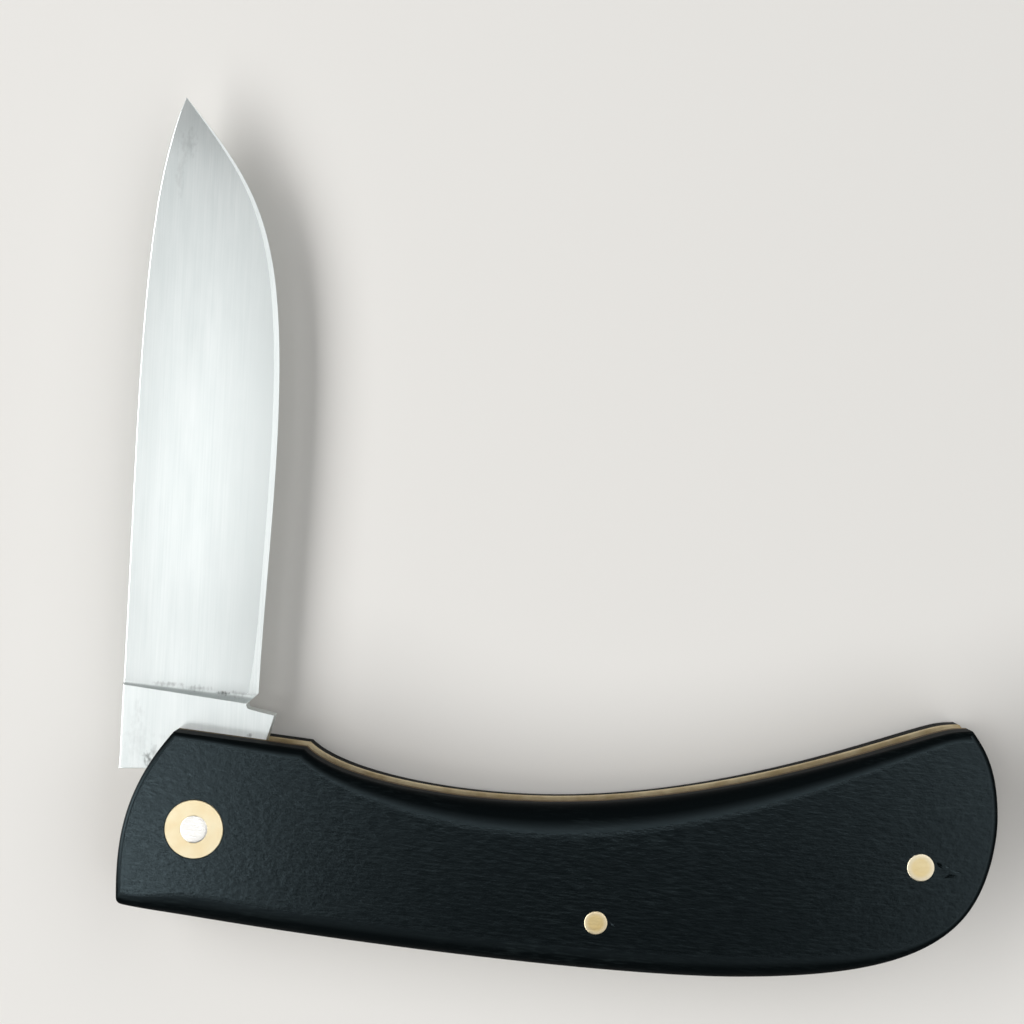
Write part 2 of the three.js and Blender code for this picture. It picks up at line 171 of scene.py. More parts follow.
# %% The skin builder
class Skin:
    """Collects the points, faces and patch names of one piece, in millimetres. A point's rim value is
    1 where the maker's board and cloth didn't reach; on the brass pins it also marks the rim that is
    painted paler as a highlight."""

    def __init__(self):
        self.points = np.zeros((0, 3))
        self.rims = np.zeros(0)
        self.faces = []
        self.patches = []

    def add(self, flat, height, rim=0.0):
        """Adds points with the given x, y and z, and returns their numbers in the same layout."""
        flat = np.asarray(flat, float)
        height = np.broadcast_to(height, flat.shape[:-1])[..., None]
        solid = np.concatenate([flat, height], -1)
        numbers = np.arange(len(self.points), len(self.points) + solid[..., 0].size)
        self.points = np.concatenate([self.points, solid.reshape(-1, 3)])
        self.rims = np.concatenate([self.rims, np.broadcast_to(rim, flat.shape[:-1]).ravel()])
        return numbers.reshape(flat.shape[:-1])

    def cover(self, faces, patch):
        """Adds faces, each a row of point numbers, to a patch."""
        self.faces += np.asarray(faces).tolist()
        self.patches += [patch] * len(faces)

    def band(self, first, second, patch):
        """Quads between two closed rings of the same length."""
        first, second = np.append(first, first[0]), np.append(second, second[0])
        self.cover(np.stack([first[:-1], first[1:], second[1:], second[:-1]], 1), patch)

    def grid(self, numbers, patch):
        """Quads between neighbours on a grid of point numbers."""
        a, b = numbers[:-1, :-1].ravel(), numbers[1:, :-1].ravel()
        c, d = numbers[1:, 1:].ravel(), numbers[:-1, 1:].ravel()
        self.cover(np.stack([a, b, c, d], 1), patch)

    def fill(self, rings, patch):
        """Triangles between an outer ring and the holes in it."""
        loops = [[Vector(point) for point in self.points[ring] * (1, 1, 0)] for ring in rings]
        self.cover(np.concatenate(rings)[np.array(tessellate_polygon(loops))], patch)


sample = Skin()
sample.band(sample.add(circle((0, 0), 1, 12), 0), sample.add(circle((0, 0), 1, 12), 1), "wall")
print("a band between two rings of 12 points has", len(sample.faces), "faces")

# %% [markdown]
# ## From skin to piece
# A mesh keeps its values in long lists, and a whole list is read or written at once. The patches say
# which edges are sharp. Each piece then rides on its body and gets its material, and the nodes of the
# packed model that it takes the place of are hidden.

# %% Finishing a piece
def read_all(items, field, kind, width=1):
    """Every value of one field of a mesh's corners or faces, as one array."""
    values = np.empty(len(items) * width, kind)
    items.foreach_get(field, values)
    return values


def write_floats(mesh, name, domain, values):
    """Gives the mesh a named attribute with one number for each point, face or corner."""
    mesh.attributes.new(name, "FLOAT", domain).data.foreach_set("value", values.astype(np.float32))


def shade(mesh, patches, crease=40.0):
    """Smooth shading with a sharp edge where two patches meet or two faces turn by more than the
    crease. It also proves that the skin is closed: each edge has exactly two faces."""
    edge_of = read_all(mesh.loops, "edge_index", np.int32)
    totals = read_all(mesh.polygons, "loop_total", np.int32)
    uses = np.bincount(edge_of, minlength=len(mesh.edges))
    if not (uses == 2).all():
        raise ValueError(f"{mesh.name} has {np.count_nonzero(uses != 2)} open or doubled edges")
    face_of = np.repeat(np.arange(len(totals)), totals)
    pairs = face_of[np.argsort(edge_of, kind="stable")].reshape(-1, 2)
    normals = read_all(mesh.polygons, "normal", np.float32, 3).reshape(-1, 3)
    facing = np.einsum("ij,ij->i", normals[pairs[:, 0]], normals[pairs[:, 1]])
    patches = np.array(patches)
    sharp = (patches[pairs[:, 0]] != patches[pairs[:, 1]]) | (facing < np.cos(np.radians(crease)))
    mesh.attributes.new("sharp_edge", "BOOLEAN", "EDGE").data.foreach_set("value", sharp)
    mesh.polygons.foreach_set("use_smooth", np.ones(len(totals), bool))


def placed(name, data):
    """A new object in the scene, at the origin, that holds this data."""
    item = bpy.data.objects.new(name, data)
    bpy.context.scene.collection.objects.link(item)
    return item


def finished(skin, name, body, nodes, material):
    """Turns a skin into a piece of the knife: a mesh in metres with its faces outwards, which rides on
    its body and hides the nodes that it replaces."""
    mesh = bpy.data.meshes.new(name)
    mesh.from_pydata((skin.points * MM).tolist(), [], skin.faces)
    work = bmesh.new()
    work.from_mesh(mesh)
    bmesh.ops.recalc_face_normals(work, faces=work.faces)
    work.to_mesh(mesh)
    work.free()
    write_floats(mesh, "rim", "POINT", skin.rims)
    shade(mesh, skin.patches)
    mesh.materials.append(material)
    piece = placed(name, mesh)
    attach(piece, body)
    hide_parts(*nodes)
    print(name, "has", len(mesh.polygons), "faces")
    return piece


# %% [markdown]
# ## Node helpers
# Colours are written as sRGB hex values, which is how a colour looks on a screen, and one function
# makes them linear. One more function adds a shader node with its settings and links. Every finish of
# a knife has a grain, from the tree or from the maker's paper, so two functions give the coordinates
# along it in millimetres and a noise that is stretched along it.

# %% Node helpers
MIX_A, MIX_B, MIX_COLOUR = 6, 7, 2


def linear(hex_code):
    """sRGB to linear: a channel below 0.04045 is divided by 12.92, and any other becomes
    ((channel + 0.055) / 1.055) to the power 2.4."""
    channels = np.array([int(hex_code[i:i + 2], 16) for i in (1, 3, 5)]) / 255
    curved = np.where(channels <= 0.04045, channels / 12.92, ((channels + 0.055) / 1.055) ** 2.4)
    return (*curved.tolist(), 1.0)


def add_node(tree, kind, sockets=None, **settings):
    """Adds a shader node, sets its options, and gives each named input a value or a link."""
    node = tree.nodes.new("ShaderNode" + kind)
    for option, value in settings.items():
        setattr(node, option, value)
    for socket, value in (sockets or {}).items():
        if isinstance(value, bpy.types.NodeSocket):
            tree.links.new(value, node.inputs[socket])
        else:
            node.inputs[socket].default_value = value
    return node


def new_material(name):
    """A material with an empty node tree, and that tree."""
    material = bpy.data.materials.new(name)
    material.use_nodes = True
    material.node_tree.nodes.clear()
    return material, material.node_tree


def along_grain(tree, turn):
    """Object coordinates in millimetres, turned so that x runs at this angle in degrees from +X."""
    place = add_node(tree, "TexCoord").outputs["Object"]
    laid = add_node(tree, "Mapping", {
        "Vector": place, "Rotation": (0, 0, -np.radians(turn)), "Scale": (1 / MM, 1 / MM, 1 / MM)})
    return laid.outputs["Vector"]


def grain_noise(tree, grain, length, width, detail, roughness=0.5):
    """Noise with features of this length in millimetres along the grain and this width across it."""
    stretched = add_node(tree, "Mapping", {
        "Vector": grain, "Scale": (1 / length, 1 / width, 1 / width)})
    noise = add_node(tree, "TexNoise", {
        "Vector": stretched.outputs["Vector"], "Scale": 1.0, "Detail": detail,
        "Roughness": roughness})
    return noise.outputs["Fac"]


print("mid grey is", round(linear("#808080")[0], 3), "in linear light")

# %% [markdown]
# ## Satin tool steel
# The blade was rubbed by hand along its length with fine abrasive paper. The eye gets a pale, soft
# metal with faint lengthwise lines and hardly any reflection. The rubbing lines are really 0.02 to
# 0.05 mm apart, and here they are 0.2 mm apart, so that they show. Grey spots are painted in the
# plunge, beside the handle and by the tip. Most of them are painted shade and painted reflection: the
# shade that the handle's edge casts on the steel beside it, the grey of the plunge that faces away
# from the light, and the greying towards the tip; a few are real smudges. Each spot is an ellipse
# whose rim is frayed by noise. The bevel is finer ground than the rest, so it shines more, and the
# plunge, which the rubbing block can't reach, is left rough.

# %% Satin steel
LINE_LENGTH, LINE_SPACING = 16.0, 0.2
FRAYING = 2.6
# The first grey is for the spots of painted shade and reflection, the second for the painted side shade.
SHADE_AND_SMUDGE_GREY, SIDE_SHADE_GREY = "#4d504f", "#d2d8d7"
# Spots of painted shade and reflection, with a few real smudges: place along, across, two half widths,
# strength.
BLADE_SHADE_AND_SMUDGES = [
    (7.5, 6.5, 1.1, 0.8, 0.75), (8.2, 6.0, 1.4, 0.6, 0.35), (10.7, -5.45, 0.35, 0.4, 0.6),
    (15.6, -2.0, 0.3, 1.1, 0.95), (15.5, -3.6, 0.5, 1.0, 0.4), (16.0, 1.2, 0.4, 2.2, 0.35),
    (16.4, 4.6, 0.35, 2.2, 0.35), (81.2, 5.5, 2.0, 1.3, 0.17), (77.5, 6.2, 3.0, 0.7, 0.12),
    (12.8, 8.0, 2.2, 0.6, 0.12), (9.6, 7.9, 3.6, 1.6, 0.1), (10.2, 1.5, 0.4, 5.5, 0.1)]


def satin_steel(name, base, rubbed, turn, roughness, shade_and_smudges=()):
    """Steel rubbed along one direction, which is turned from +X by so many degrees. Long thin noise
    moves the colour and the bump a little. A grey spot has its place along and across the blade, its
    two half widths and its strength, and it fades as its distance in half widths plus the fraying
    noise goes from 1.2 to 2.2. The spots are mostly painted shade and painted reflection, with a few
    real smudges. One attribute greys the steel along the blade's sides as painted shade, and polish
    makes it smoother."""
    material, tree = new_material(name)
    grain = along_grain(tree, turn)
    lines = grain_noise(tree, grain, LINE_LENGTH, LINE_SPACING, 3.0, 0.6)
    haze = grain_noise(tree, grain, 9.0, 1.6, 3.0)
    tone = add_node(tree, "Math", {0: lines, 1: haze}, operation="ADD")
    share = add_node(tree, "MapRange", {"Value": tone.outputs[0], "From Min": 0.6, "From Max": 1.4})
    colour = add_node(tree, "Mix", {
        0: share.outputs[0], MIX_A: linear(base), MIX_B: linear(rubbed)}, data_type="RGBA")
    # Painted shade: this attribute greys the steel along the blade's sides.
    side_shade = add_node(tree, "Attribute", attribute_name="side_shade")
    colour = add_node(tree, "Mix", {
        0: side_shade.outputs["Fac"], MIX_A: colour.outputs[MIX_COLOUR], MIX_B: linear(SIDE_SHADE_GREY)},
        data_type="RGBA")
    fray = grain_noise(tree, grain, 0.7, 0.35, 3.0)
    shade_and_dirt = 0.0
    for reach, side, half_along, half_across, strength in shade_and_smudges:
        spot = add_node(tree, "Mapping", {
            "Vector": grain, "Scale": (1 / half_along, 1 / half_across, 0),
            "Location": (-reach / half_along, -side / half_across, 0)})
        distance = add_node(tree, "VectorMath", {0: spot.outputs["Vector"]}, operation="LENGTH")
        frayed = add_node(tree, "Math", {
            0: fray, 1: FRAYING, 2: distance.outputs["Value"]}, operation="MULTIPLY_ADD")
        amount = add_node(tree, "MapRange", {
            "Value": frayed.outputs[0], "From Min": 2.2, "From Max": 1.2, "To Max": strength})
        shade_and_dirt = add_node(tree, "Math", {0: shade_and_dirt, 1: amount.outputs[0]}, operation="MAXIMUM").outputs[0]
    # The spots of painted shade and reflection grey the colour here.
    colour = add_node(tree, "Mix", {
        0: shade_and_dirt, MIX_A: colour.outputs[MIX_COLOUR], MIX_B: linear(SHADE_AND_SMUDGE_GREY)}, data_type="RGBA")
    polish = add_node(tree, "Attribute", attribute_name="polish")
    gloss = add_node(tree, "MapRange", {
        "Value": polish.outputs["Fac"], "To Min": roughness, "To Max": roughness * 0.7}, clamp=False)
    bump = add_node(tree, "Bump", {"Height": lines, "Strength": 0.1, "Distance": 0.02 * MM})
    shader = add_node(tree, "BsdfPrincipled", {
        "Base Color": colour.outputs[MIX_COLOUR], "Roughness": gloss.outputs[0],
        "Normal": bump.outputs[0], "Metallic": 1.0})
    add_node(tree, "OutputMaterial", {"Surface": shader.outputs["BSDF"]})
    return material


BLADE_TURN = 87.2
blade_steel = satin_steel("hand_rubbed_tool_steel", "#e2e9e8", "#f1f6f5", BLADE_TURN, 0.37,
                          BLADE_SHADE_AND_SMUDGES)
spring_steel = satin_steel("rubbed_spring_steel", "#b9bcbe", "#d2d5d6", 0.0, 0.36)
print("steels:", blade_steel.name, spring_steel.name, "smudges:", len(BLADE_SHADE_AND_SMUDGES))

# %% [markdown]
# ## Ebony
# The scales are close-grained black wood, rubbed with oil to a satin. Ebony is nearly black, with fine
# grey streaks where a lighter fibre runs along the grain, and short narrow pores. Its face isn't quite
# flat: rubbing leaves soft hollows, which break up the sheen. The edges were shaped by hand with a
# file and never saw the flat board, so they stay matt: there the rim value raises the roughness and
# lowers the IOR. The pores are really 0.03 to 0.08 mm wide, and here they are drawn 0.12 mm wide.

# %% Ebony
GRAIN_TURN = -6.0


def rubbed_ebony():
    """Near-black wood: streak noise that is long along the grain lightens it, and pore noise and a
    broader noise dent it."""
    material, tree = new_material("oiled_ebony")
    grain = along_grain(tree, GRAIN_TURN)
    streaks = grain_noise(tree, grain, 2.2, 0.25, 4.0, 0.6)
    regions = grain_noise(tree, grain, 26.0, 6.0, 2.0, 0.6)
    pores = grain_noise(tree, grain, 1.6, 0.12, 2.0, 0.6)
    hollows = grain_noise(tree, grain, 1.1, 0.6, 3.0, 0.6)
    where = add_node(tree, "MapRange", {"Value": regions, "From Min": 0.4, "From Max": 0.66})
    pale = add_node(tree, "MapRange", {"Value": streaks, "From Min": 0.5, "From Max": 0.74})
    amount = add_node(tree, "Math", {0: where.outputs[0], 1: pale.outputs[0]}, operation="MULTIPLY")
    colour = add_node(tree, "Mix", {
        0: amount.outputs[0], MIX_A: linear("#040708"), MIX_B: linear("#181e1f")}, data_type="RGBA")
    dents = add_node(tree, "MapRange", {"Value": pores, "From Min": 0.3, "From Max": 0.5})
    pore_bump = add_node(tree, "Bump", {
        "Height": dents.outputs[0], "Strength": 0.06, "Distance": 0.02 * MM})
    bump = add_node(tree, "Bump", {
        "Height": hollows, "Strength": 0.45, "Distance": 0.05 * MM, "Normal": pore_bump.outputs[0]})
    gloss = add_node(tree, "MapRange", {
        "Value": streaks, "From Min": 0.3, "From Max": 0.7, "To Min": 0.18, "To Max": 0.25})
    rim = add_node(tree, "Attribute", attribute_name="rim").outputs["Fac"]
    roughness = add_node(tree, "Mix", {0: rim, 2: gloss.outputs[0], 3: 0.6}, data_type="FLOAT")
    sheen = add_node(tree, "MapRange", {"Value": rim, "To Min": 1.5, "To Max": 1.12})
    # The cool blue specular tint is painted light: it gives the sheen the colour of a cool window,
    # though the lamps are white.
    shader = add_node(tree, "BsdfPrincipled", {
        "Base Color": colour.outputs[MIX_COLOUR], "Roughness": roughness.outputs[0],
        "IOR": sheen.outputs[0], "Normal": bump.outputs[0], "Specular IOR Level": 0.6,
        "Specular Tint": linear("#c9e5ef")})
    add_node(tree, "OutputMaterial", {"Surface": shader.outputs["BSDF"]})
    return material


ebony = rubbed_ebony()
print("wood:", ebony.name)

# %% [markdown]
# ## Brass and pin steel
# The liners are sheet brass, filed flush with the wood, so their edges are matt. The two liners are
# one brass in two painted copies: the lower one painted paler, as lit, and the upper one painted dark
# brown, as in shade. The collars and pins were peened over and then ground flush on fine paper, so
# they shine and have faint lines one way. The rim of a brass pin is painted a little paler than its
# middle, as a highlight round its edge, and the butt pin is painted paler than the spring pin, as if
# more brightly lit. The paper's lines are really finer, and here they are about 0.1 mm apart, so that
# they show.

# %% Brass and pin steel
def ground_metal(name, base, worn, edge, roughness, spacing=0.12, strength=0.05):
    """Metal ground flush: noise that is long along X gives the paper's lines, and a soft cloud moves the
    colour between fresh and worn. Where the rim value is 1, it has the edge's colour."""
    material, tree = new_material(name)
    grain = along_grain(tree, 0.0)
    lines = grain_noise(tree, grain, 20 * spacing, spacing, 2.0)
    clouds = grain_noise(tree, grain, 2.5, 2.5, 3.0)
    share = add_node(tree, "MapRange", {"Value": clouds, "From Min": 0.35, "From Max": 0.65})
    colour = add_node(tree, "Mix", {
        0: share.outputs[0], MIX_A: linear(base), MIX_B: linear(worn)}, data_type="RGBA")
    rim = add_node(tree, "Attribute", attribute_name="rim").outputs["Fac"]
    colour = add_node(tree, "Mix", {
        0: rim, MIX_A: colour.outputs[MIX_COLOUR], MIX_B: linear(edge)}, data_type="RGBA")
    gloss = add_node(tree, "MapRange", {
        "Value": lines, "From Min": 0.3, "From Max": 0.7,
        "To Min": roughness - 0.05, "To Max": roughness + 0.05})
    bump = add_node(tree, "Bump", {"Height": lines, "Strength": strength, "Distance": 0.02 * MM})
    shader = add_node(tree, "BsdfPrincipled", {
        "Base Color": colour.outputs[MIX_COLOUR], "Roughness": gloss.outputs[0],
        "Normal": bump.outputs[0], "Metallic": 1.0})
    add_node(tree, "OutputMaterial", {"Surface": shader.outputs["BSDF"]})
    return material


FILED = {"roughness": 0.62, "spacing": 0.1, "strength": 0.1}
# Lit and shaded copies of one brass: the lower liner's is painted paler, the upper liner's painted dark
# as shade.
lit_liner_brass = ground_metal("lit_filed_sheet_brass", "#e0d2b0", "#c3b08a", "#c3b08a", **FILED)
shaded_liner_brass = ground_metal("shade_painted_sheet_brass", "#76623f", "#57462c", "#57462c", **FILED)
# The paler edge colour of a brass pin is a painted highlight round its peened rim.
pin_brass = ground_metal("ground_brass_rod", "#f3dca3", "#ecd091", "#fcebc6", 0.4)
# The butt pin's brass is painted paler than the spring pin's: a painted highlight, for more light on it.
lit_butt_brass = ground_metal("polished_and_lit_brass_rod", "#fdebbc", "#f9e2a8", "#fff3d6", 0.38)
collar_brass = ground_metal("ground_collar_brass", "#fff1cc", "#fbe8bd", "#fff6dc", 0.37)
pin_steel = ground_metal("ground_steel_rod", "#fefdfa", "#f6f4ef", "#f6f4ef", 0.29)
print("metals:", [metal.name for metal in (lit_liner_brass, pin_brass, lit_butt_brass, pin_steel)])

# %% [markdown]
# ## The handle's outline
# The scales, liners and spring were shaped as one block, so they share one outline. It runs
# anticlockwise from the toe, below the pivot, in ten runs. Each run has its curve, the rounding of
# the scale's outer edge at its start and end, and the share of the run over which the rounding
# changes. The rounding is small at the ends, and wide along the waist and the back.

# %% Handle outline
FINE = 5
TOE, BACK_CORNER, KEEL = (-9.2, -8), (-8.5, -8.95), (64, -17.62)
BACK_ANGLE = -12.5
HAUNCH, BUTT = (BUTT_REACH - 3.58, -10), (BUTT_REACH, 1.4)
BUTT_TOP, CREST = (BUTT_REACH - 2.88, 11.4), (BUTT_REACH - 5.38, 11.2)
WAIST, BROW, NOSE = (43, 2.75), (12.9, 9.3), (-2.4, 11.4)
ROUND_NOSE, ROUND_TOP, ROUND_BACK, ROUND_ENDS, ROUND_TOE = 1.0, 2.9, 2.3, 0.5, 1.2

handle_runs = [
    (bend(TOE, 270, 0.4, BACK_CORNER, BACK_ANGLE, 0.4, 4 * FINE), ROUND_ENDS, ROUND_TOE, 1),
    (bend(BACK_CORNER, BACK_ANGLE, 0.18, KEEL, 0, 0.24, 20 * FINE), ROUND_TOE, ROUND_BACK, 0.18),
    (bend(KEEL, 0, 0.48, HAUNCH, 52, 0.26, 12 * FINE), ROUND_BACK, ROUND_ENDS, 1),
    (bend(HAUNCH, 52, 0.36, BUTT, 90, 0.24, 7 * FINE), ROUND_ENDS, ROUND_ENDS, 1),
    (bend(BUTT, 90, 0.56, BUTT_TOP, 124, 0.22, 6 * FINE), ROUND_ENDS, ROUND_ENDS, 1),
    (bend(BUTT_TOP, 180, 0.33, CREST, 191, 0.33, 2 * FINE), ROUND_NOSE, ROUND_NOSE, 1),
    (bend(CREST, 191, 0.11, WAIST, 180, 0.46, 16 * FINE), ROUND_NOSE, ROUND_TOP, 1),
    (bend(WAIST, 180, 0.4, BROW, 135, 0.18, 14 * FINE), ROUND_TOP, ROUND_NOSE, 1),
    (straight(BROW, NOSE, 4 * FINE), ROUND_NOSE, ROUND_ENDS, 1),
    (bend(NOSE, 228, 0.45, TOE, 270, 0.3, 12 * FINE), ROUND_ENDS, ROUND_ENDS, 1),
]
back_curve = handle_runs[1][0]


def rounding_along(count, first, last, changing):
    """Rounding at each point of a run: from first to last by the smooth step 3 t^2 - 2 t^3, over the
    share of the run in which it changes."""
    t = np.clip(np.linspace(0, 1, count) / changing, 0, 1)
    return first + (last - first) * t * t * (3 - 2 * t)


def back_height(x):
    """Height of the handle's back at x, read off its curve."""
    return float(np.interp(x, back_curve[:, 0], back_curve[:, 1]))


handle_ring = joined(*(run[0] for run in handle_runs))
round_after = joined(*(rounding_along(len(run), *rounding) for run, *rounding in handle_runs))
run_starts = np.cumsum([0] + [len(run[0]) - 1 for run in handle_runs[:-1]])
round_before = round_after.copy()
round_before[run_starts] = [run[2] for run in handle_runs[-1:] + handle_runs[:-1]]
EVEN = np.ones(len(handle_ring))
print("outline points:", len(handle_ring), "box:", handle_ring.min(0), handle_ring.max(0))

# %% [markdown]
# ## Pins and their holes
# Three pins hold the handle together. The pivot pin turns in the blade's tang. The other two go
# through the back spring. Each hole is a twentieth of a millimetre wider all round than its pin, which
# is the fine dark line that shows round the pins.

# %% Pins
PIVOT_RADIUS, COLLAR_RADIUS, COLLAR_DEPTH = 1.55, 3.43, 1.5
SPRING_PIN_RADIUS, BUTT_PIN_RADIUS = 1.31, 1.55
PIVOT_AT = (0.0, 0.0)
SPRING_PIN_AT = (47.05, back_height(47.05) + 5.7)
BUTT_PIN_AT = (BUTT_REACH - 9.08, -4.5)
PIN_HOLES = [(PIVOT_AT, PIVOT_RADIUS + PIN_FIT), (SPRING_PIN_AT, SPRING_PIN_RADIUS + PIN_FIT),
             (BUTT_PIN_AT, BUTT_PIN_RADIUS + PIN_FIT)]
print("spring pin at", SPRING_PIN_AT, "butt pin at", BUTT_PIN_AT)

# %% [markdown]
# ## The scales
# A scale starts as a slab. Its outer face stays flat, because the knife was rubbed on a flat board,
# and its edges are rounded over by a curve that widens along the waist, where the fingers lie. A round
# pocket takes the collar. By the butt pin the wood has two short cracks and two dents, and one more
# dent lies by the middle pin. They are pits in the face, because a crack is a shape and not a colour.

# %% Cracks and dents
PIT_STEPS = 17


def pit(line, width, seed):
    """A narrow closed ring round a line: points step along one side and back along the other, at half
    the width times a sine that closes both ends, roughened by seeded noise."""
    line = np.array(line, float)
    share = np.linspace(0, 1, PIT_STEPS)[:, None]
    spine = line[0] + (line[1] - line[0]) * share
    side = (line[1] - line[0])[::-1] * (-1, 1) / np.linalg.norm(line[1] - line[0])
    rough = np.random.default_rng(seed).uniform(0.5, 1.3, (2, PIT_STEPS, 1))
    half = width / 2 * np.sin(np.pi * np.clip(share, 0.03, 0.97))
    return np.concatenate([spine - side * half * rough[0], (spine + side * half * rough[1])[::-1]])


# A wall goes down through rings, each with its share of the pit's width and its depth
CRACK_WALL, DENT_WALL = [(1.12, 0), (1, 0.03), (0.15, 0.25)], [(1, 0), (0.3, 0.016)]
CRACKS = [(pit([(87.0, -3.9), (87.65, -4.55)], 0.42, 3), CRACK_WALL),
          (pit([(87.8, -5.6), (89.2, -5.4)], 0.4, 5), CRACK_WALL),
          (pit([(87.95, -4.2), (88.4, -4.5)], 0.36, 13), DENT_WALL),
          (pit([(88.55, -4.8), (89.9, -5.1)], 0.34, 17), DENT_WALL),
          (pit([(48.65, -10.7), (49.3, -11.4)], 0.34, 11), DENT_WALL)]
print("cracks and dents:", len(CRACKS))

# %% [markdown]
# The toe, below the pivot, has a corner that is tighter than the rounding beside it. Rings that are
# inset by more than its radius would fold there, so each one is cut before its two lines cross and
# joined again by a tight curve, as a file leaves it.

# %% Squaring the toe
JOIN = 0.08


def line_length(line):
    """Length of a chain of points."""
    return np.linalg.norm(np.diff(line, axis=0), axis=1).sum()


def between(line, start, end):
    """The same number of points along a line, from one distance along it to another."""
    reach = np.concatenate([[0], np.cumsum(np.linalg.norm(np.diff(line, axis=0), axis=1))])
    wanted = start + reach / reach[-1] * (end - start)
    return np.stack([np.interp(wanted, reach, line[:, axis]) for axis in (0, 1)], 1)


def squared_toe(ring):
    """Cuts the front and the back at the distance JOIN before the point where their lines cross, and
    puts a parabola with its pull at that point between them."""
    turn, back_end, front_start = run_starts[1], run_starts[2], run_starts[9]
    front = np.concatenate([ring[front_start:], ring[:1]])
    back = ring[turn:back_end + 1]
    corner = crossing(0, front[-1, 0], BACK_ANGLE + 90, back[0] @ heading(BACK_ANGLE + 90))
    front_past = (front[-1] - corner) @ heading(270) + JOIN
    back_past = (corner - back[0]) @ heading(BACK_ANGLE) + JOIN
    front = between(front, 0, line_length(front) - max(front_past, 0))
    back = between(back, max(back_past, 0), line_length(back))
    ring = ring.copy()
    ring[front_start:], ring[turn:back_end + 1] = front[:-1], back
    ring[:turn + 1] = parabola(front[-1], corner, back[0], turn)
    return ring


moved = squared_toe(inset(handle_ring, 1.5 * EVEN, 1.5 * EVEN))
print("toe of a ring inset by 1.5 mm:", moved[0].round(2), "to", moved[run_starts[1]].round(2))

# %% [markdown]
# The rounding is a superellipse, which is fuller than a quarter circle and runs into the face without
# a visible line. It is matt, because it never saw the flat board, and this fades into the sheen of the
# face. At the front end it is a little glossier again, as wood gets from the hand.

# %% Scale surfaces
ROUND_DEPTH_RATIO, ROUND_SPREAD, ROUND_POWER = 0.85, 1.35, 2.5
ROUNDING_STEPS = 18
MATT_FROM, MATT_TO, FRONT_WEAR = 89, 60, 0.7
EDGE_BREAK, LINER_EDGE = 0.04, 0.015


def scale_skin(upper):
    """One scale from its inner face at depth 0 to its outer face. The rounding is a superellipse: a ring
    lies rounding * spread * (1 - cos a to the power 2 / p) inside the outline, and
    rounding * ratio * (1 - sin a to the power 2 / p) below the face."""
    skin = Skin()

    def level(depth):
        """Height of a point at this depth from the inner face."""
        return UPPER_SCALE_BASE + depth if upper else SCALE_THICKNESS - depth

    inner_edge = skin.add(inset(handle_ring, EVEN * EDGE_BREAK, EVEN * EDGE_BREAK), level(0), 1.0)
    previous = skin.add(handle_ring, level(EDGE_BREAK), 1.0)
    skin.band(inner_edge, previous, "broken edge")
    rounding = (round_before + round_after) / 2
    matt = EVEN.copy()
    matt[run_starts[9]:] -= FRONT_WEAR * np.sin(np.linspace(0, np.pi, len(matt) - run_starts[9]))
    for degrees in np.linspace(0, 90, ROUNDING_STEPS + 1):
        angle = np.radians(degrees)
        width = ROUND_SPREAD * (1 - max(np.cos(angle), 0) ** (2 / ROUND_POWER))
        drop = rounding * ROUND_DEPTH_RATIO * (1 - np.sin(angle) ** (2 / ROUND_POWER))
        ring = skin.add(squared_toe(inset(handle_ring, round_before * width, round_after * width)),
                        level(SCALE_THICKNESS - drop),
                        matt * np.clip((MATT_FROM - degrees) / (MATT_FROM - MATT_TO), 0, 1))
        skin.band(previous, ring, "rounding")
        previous = ring
    face_rings, inner_rings = [previous], [inner_edge]
    pocket = COLLAR_RADIUS + PIN_FIT
    for hole, (centre, radius) in enumerate(PIN_HOLES):
        inner = skin.add(circle(centre, radius), level(0))
        mouth_radius = pocket if hole == 0 else radius
        mouth = skin.add(circle(centre, mouth_radius + EDGE_BREAK), level(SCALE_THICKNESS))
        lip = skin.add(circle(centre, mouth_radius), level(SCALE_THICKNESS - EDGE_BREAK))
        skin.band(mouth, lip, "mouth")
        if hole == 0:
            floor = skin.add(circle(centre, pocket), level(SCALE_THICKNESS - COLLAR_DEPTH))
            step = skin.add(circle(centre, radius), level(SCALE_THICKNESS - COLLAR_DEPTH))
            skin.band(lip, floor, "pocket wall")
            skin.band(floor, step, "pocket floor")
            lip = step
        skin.band(lip, inner, "hole")
        face_rings.append(mouth)
        inner_rings.append(inner)
    for crack, wall in CRACKS if upper else []:
        middle = crack.mean(0)
        rings = [skin.add(middle + (crack - middle) * share, level(SCALE_THICKNESS - depth))
                 for share, depth in wall]
        for number, (high, low) in enumerate(zip(rings, rings[1:])):
            skin.band(high, low, f"pit wall {number}")
        skin.fill([rings[-1]], "pit bottom")
        face_rings.append(rings[0])
    skin.fill(face_rings, "face")
    skin.fill(inner_rings, "inner face")
    return skin


for side, upper in (("upper", True), ("lower", False)):
    finished(scale_skin(upper), side + "_scale_ebony", "handle", [side + "_scale"], ebony)

# %% [markdown]
# ## The liners
# A liner is a sheet of brass with the handle's outline. Its edges are broken by a few hundredths of
# a millimetre, so a fine line shows between it and its neighbours. From above, only the lower liner's
# edge shows as a pale line, because the upper one is painted dark brown, as in shade.

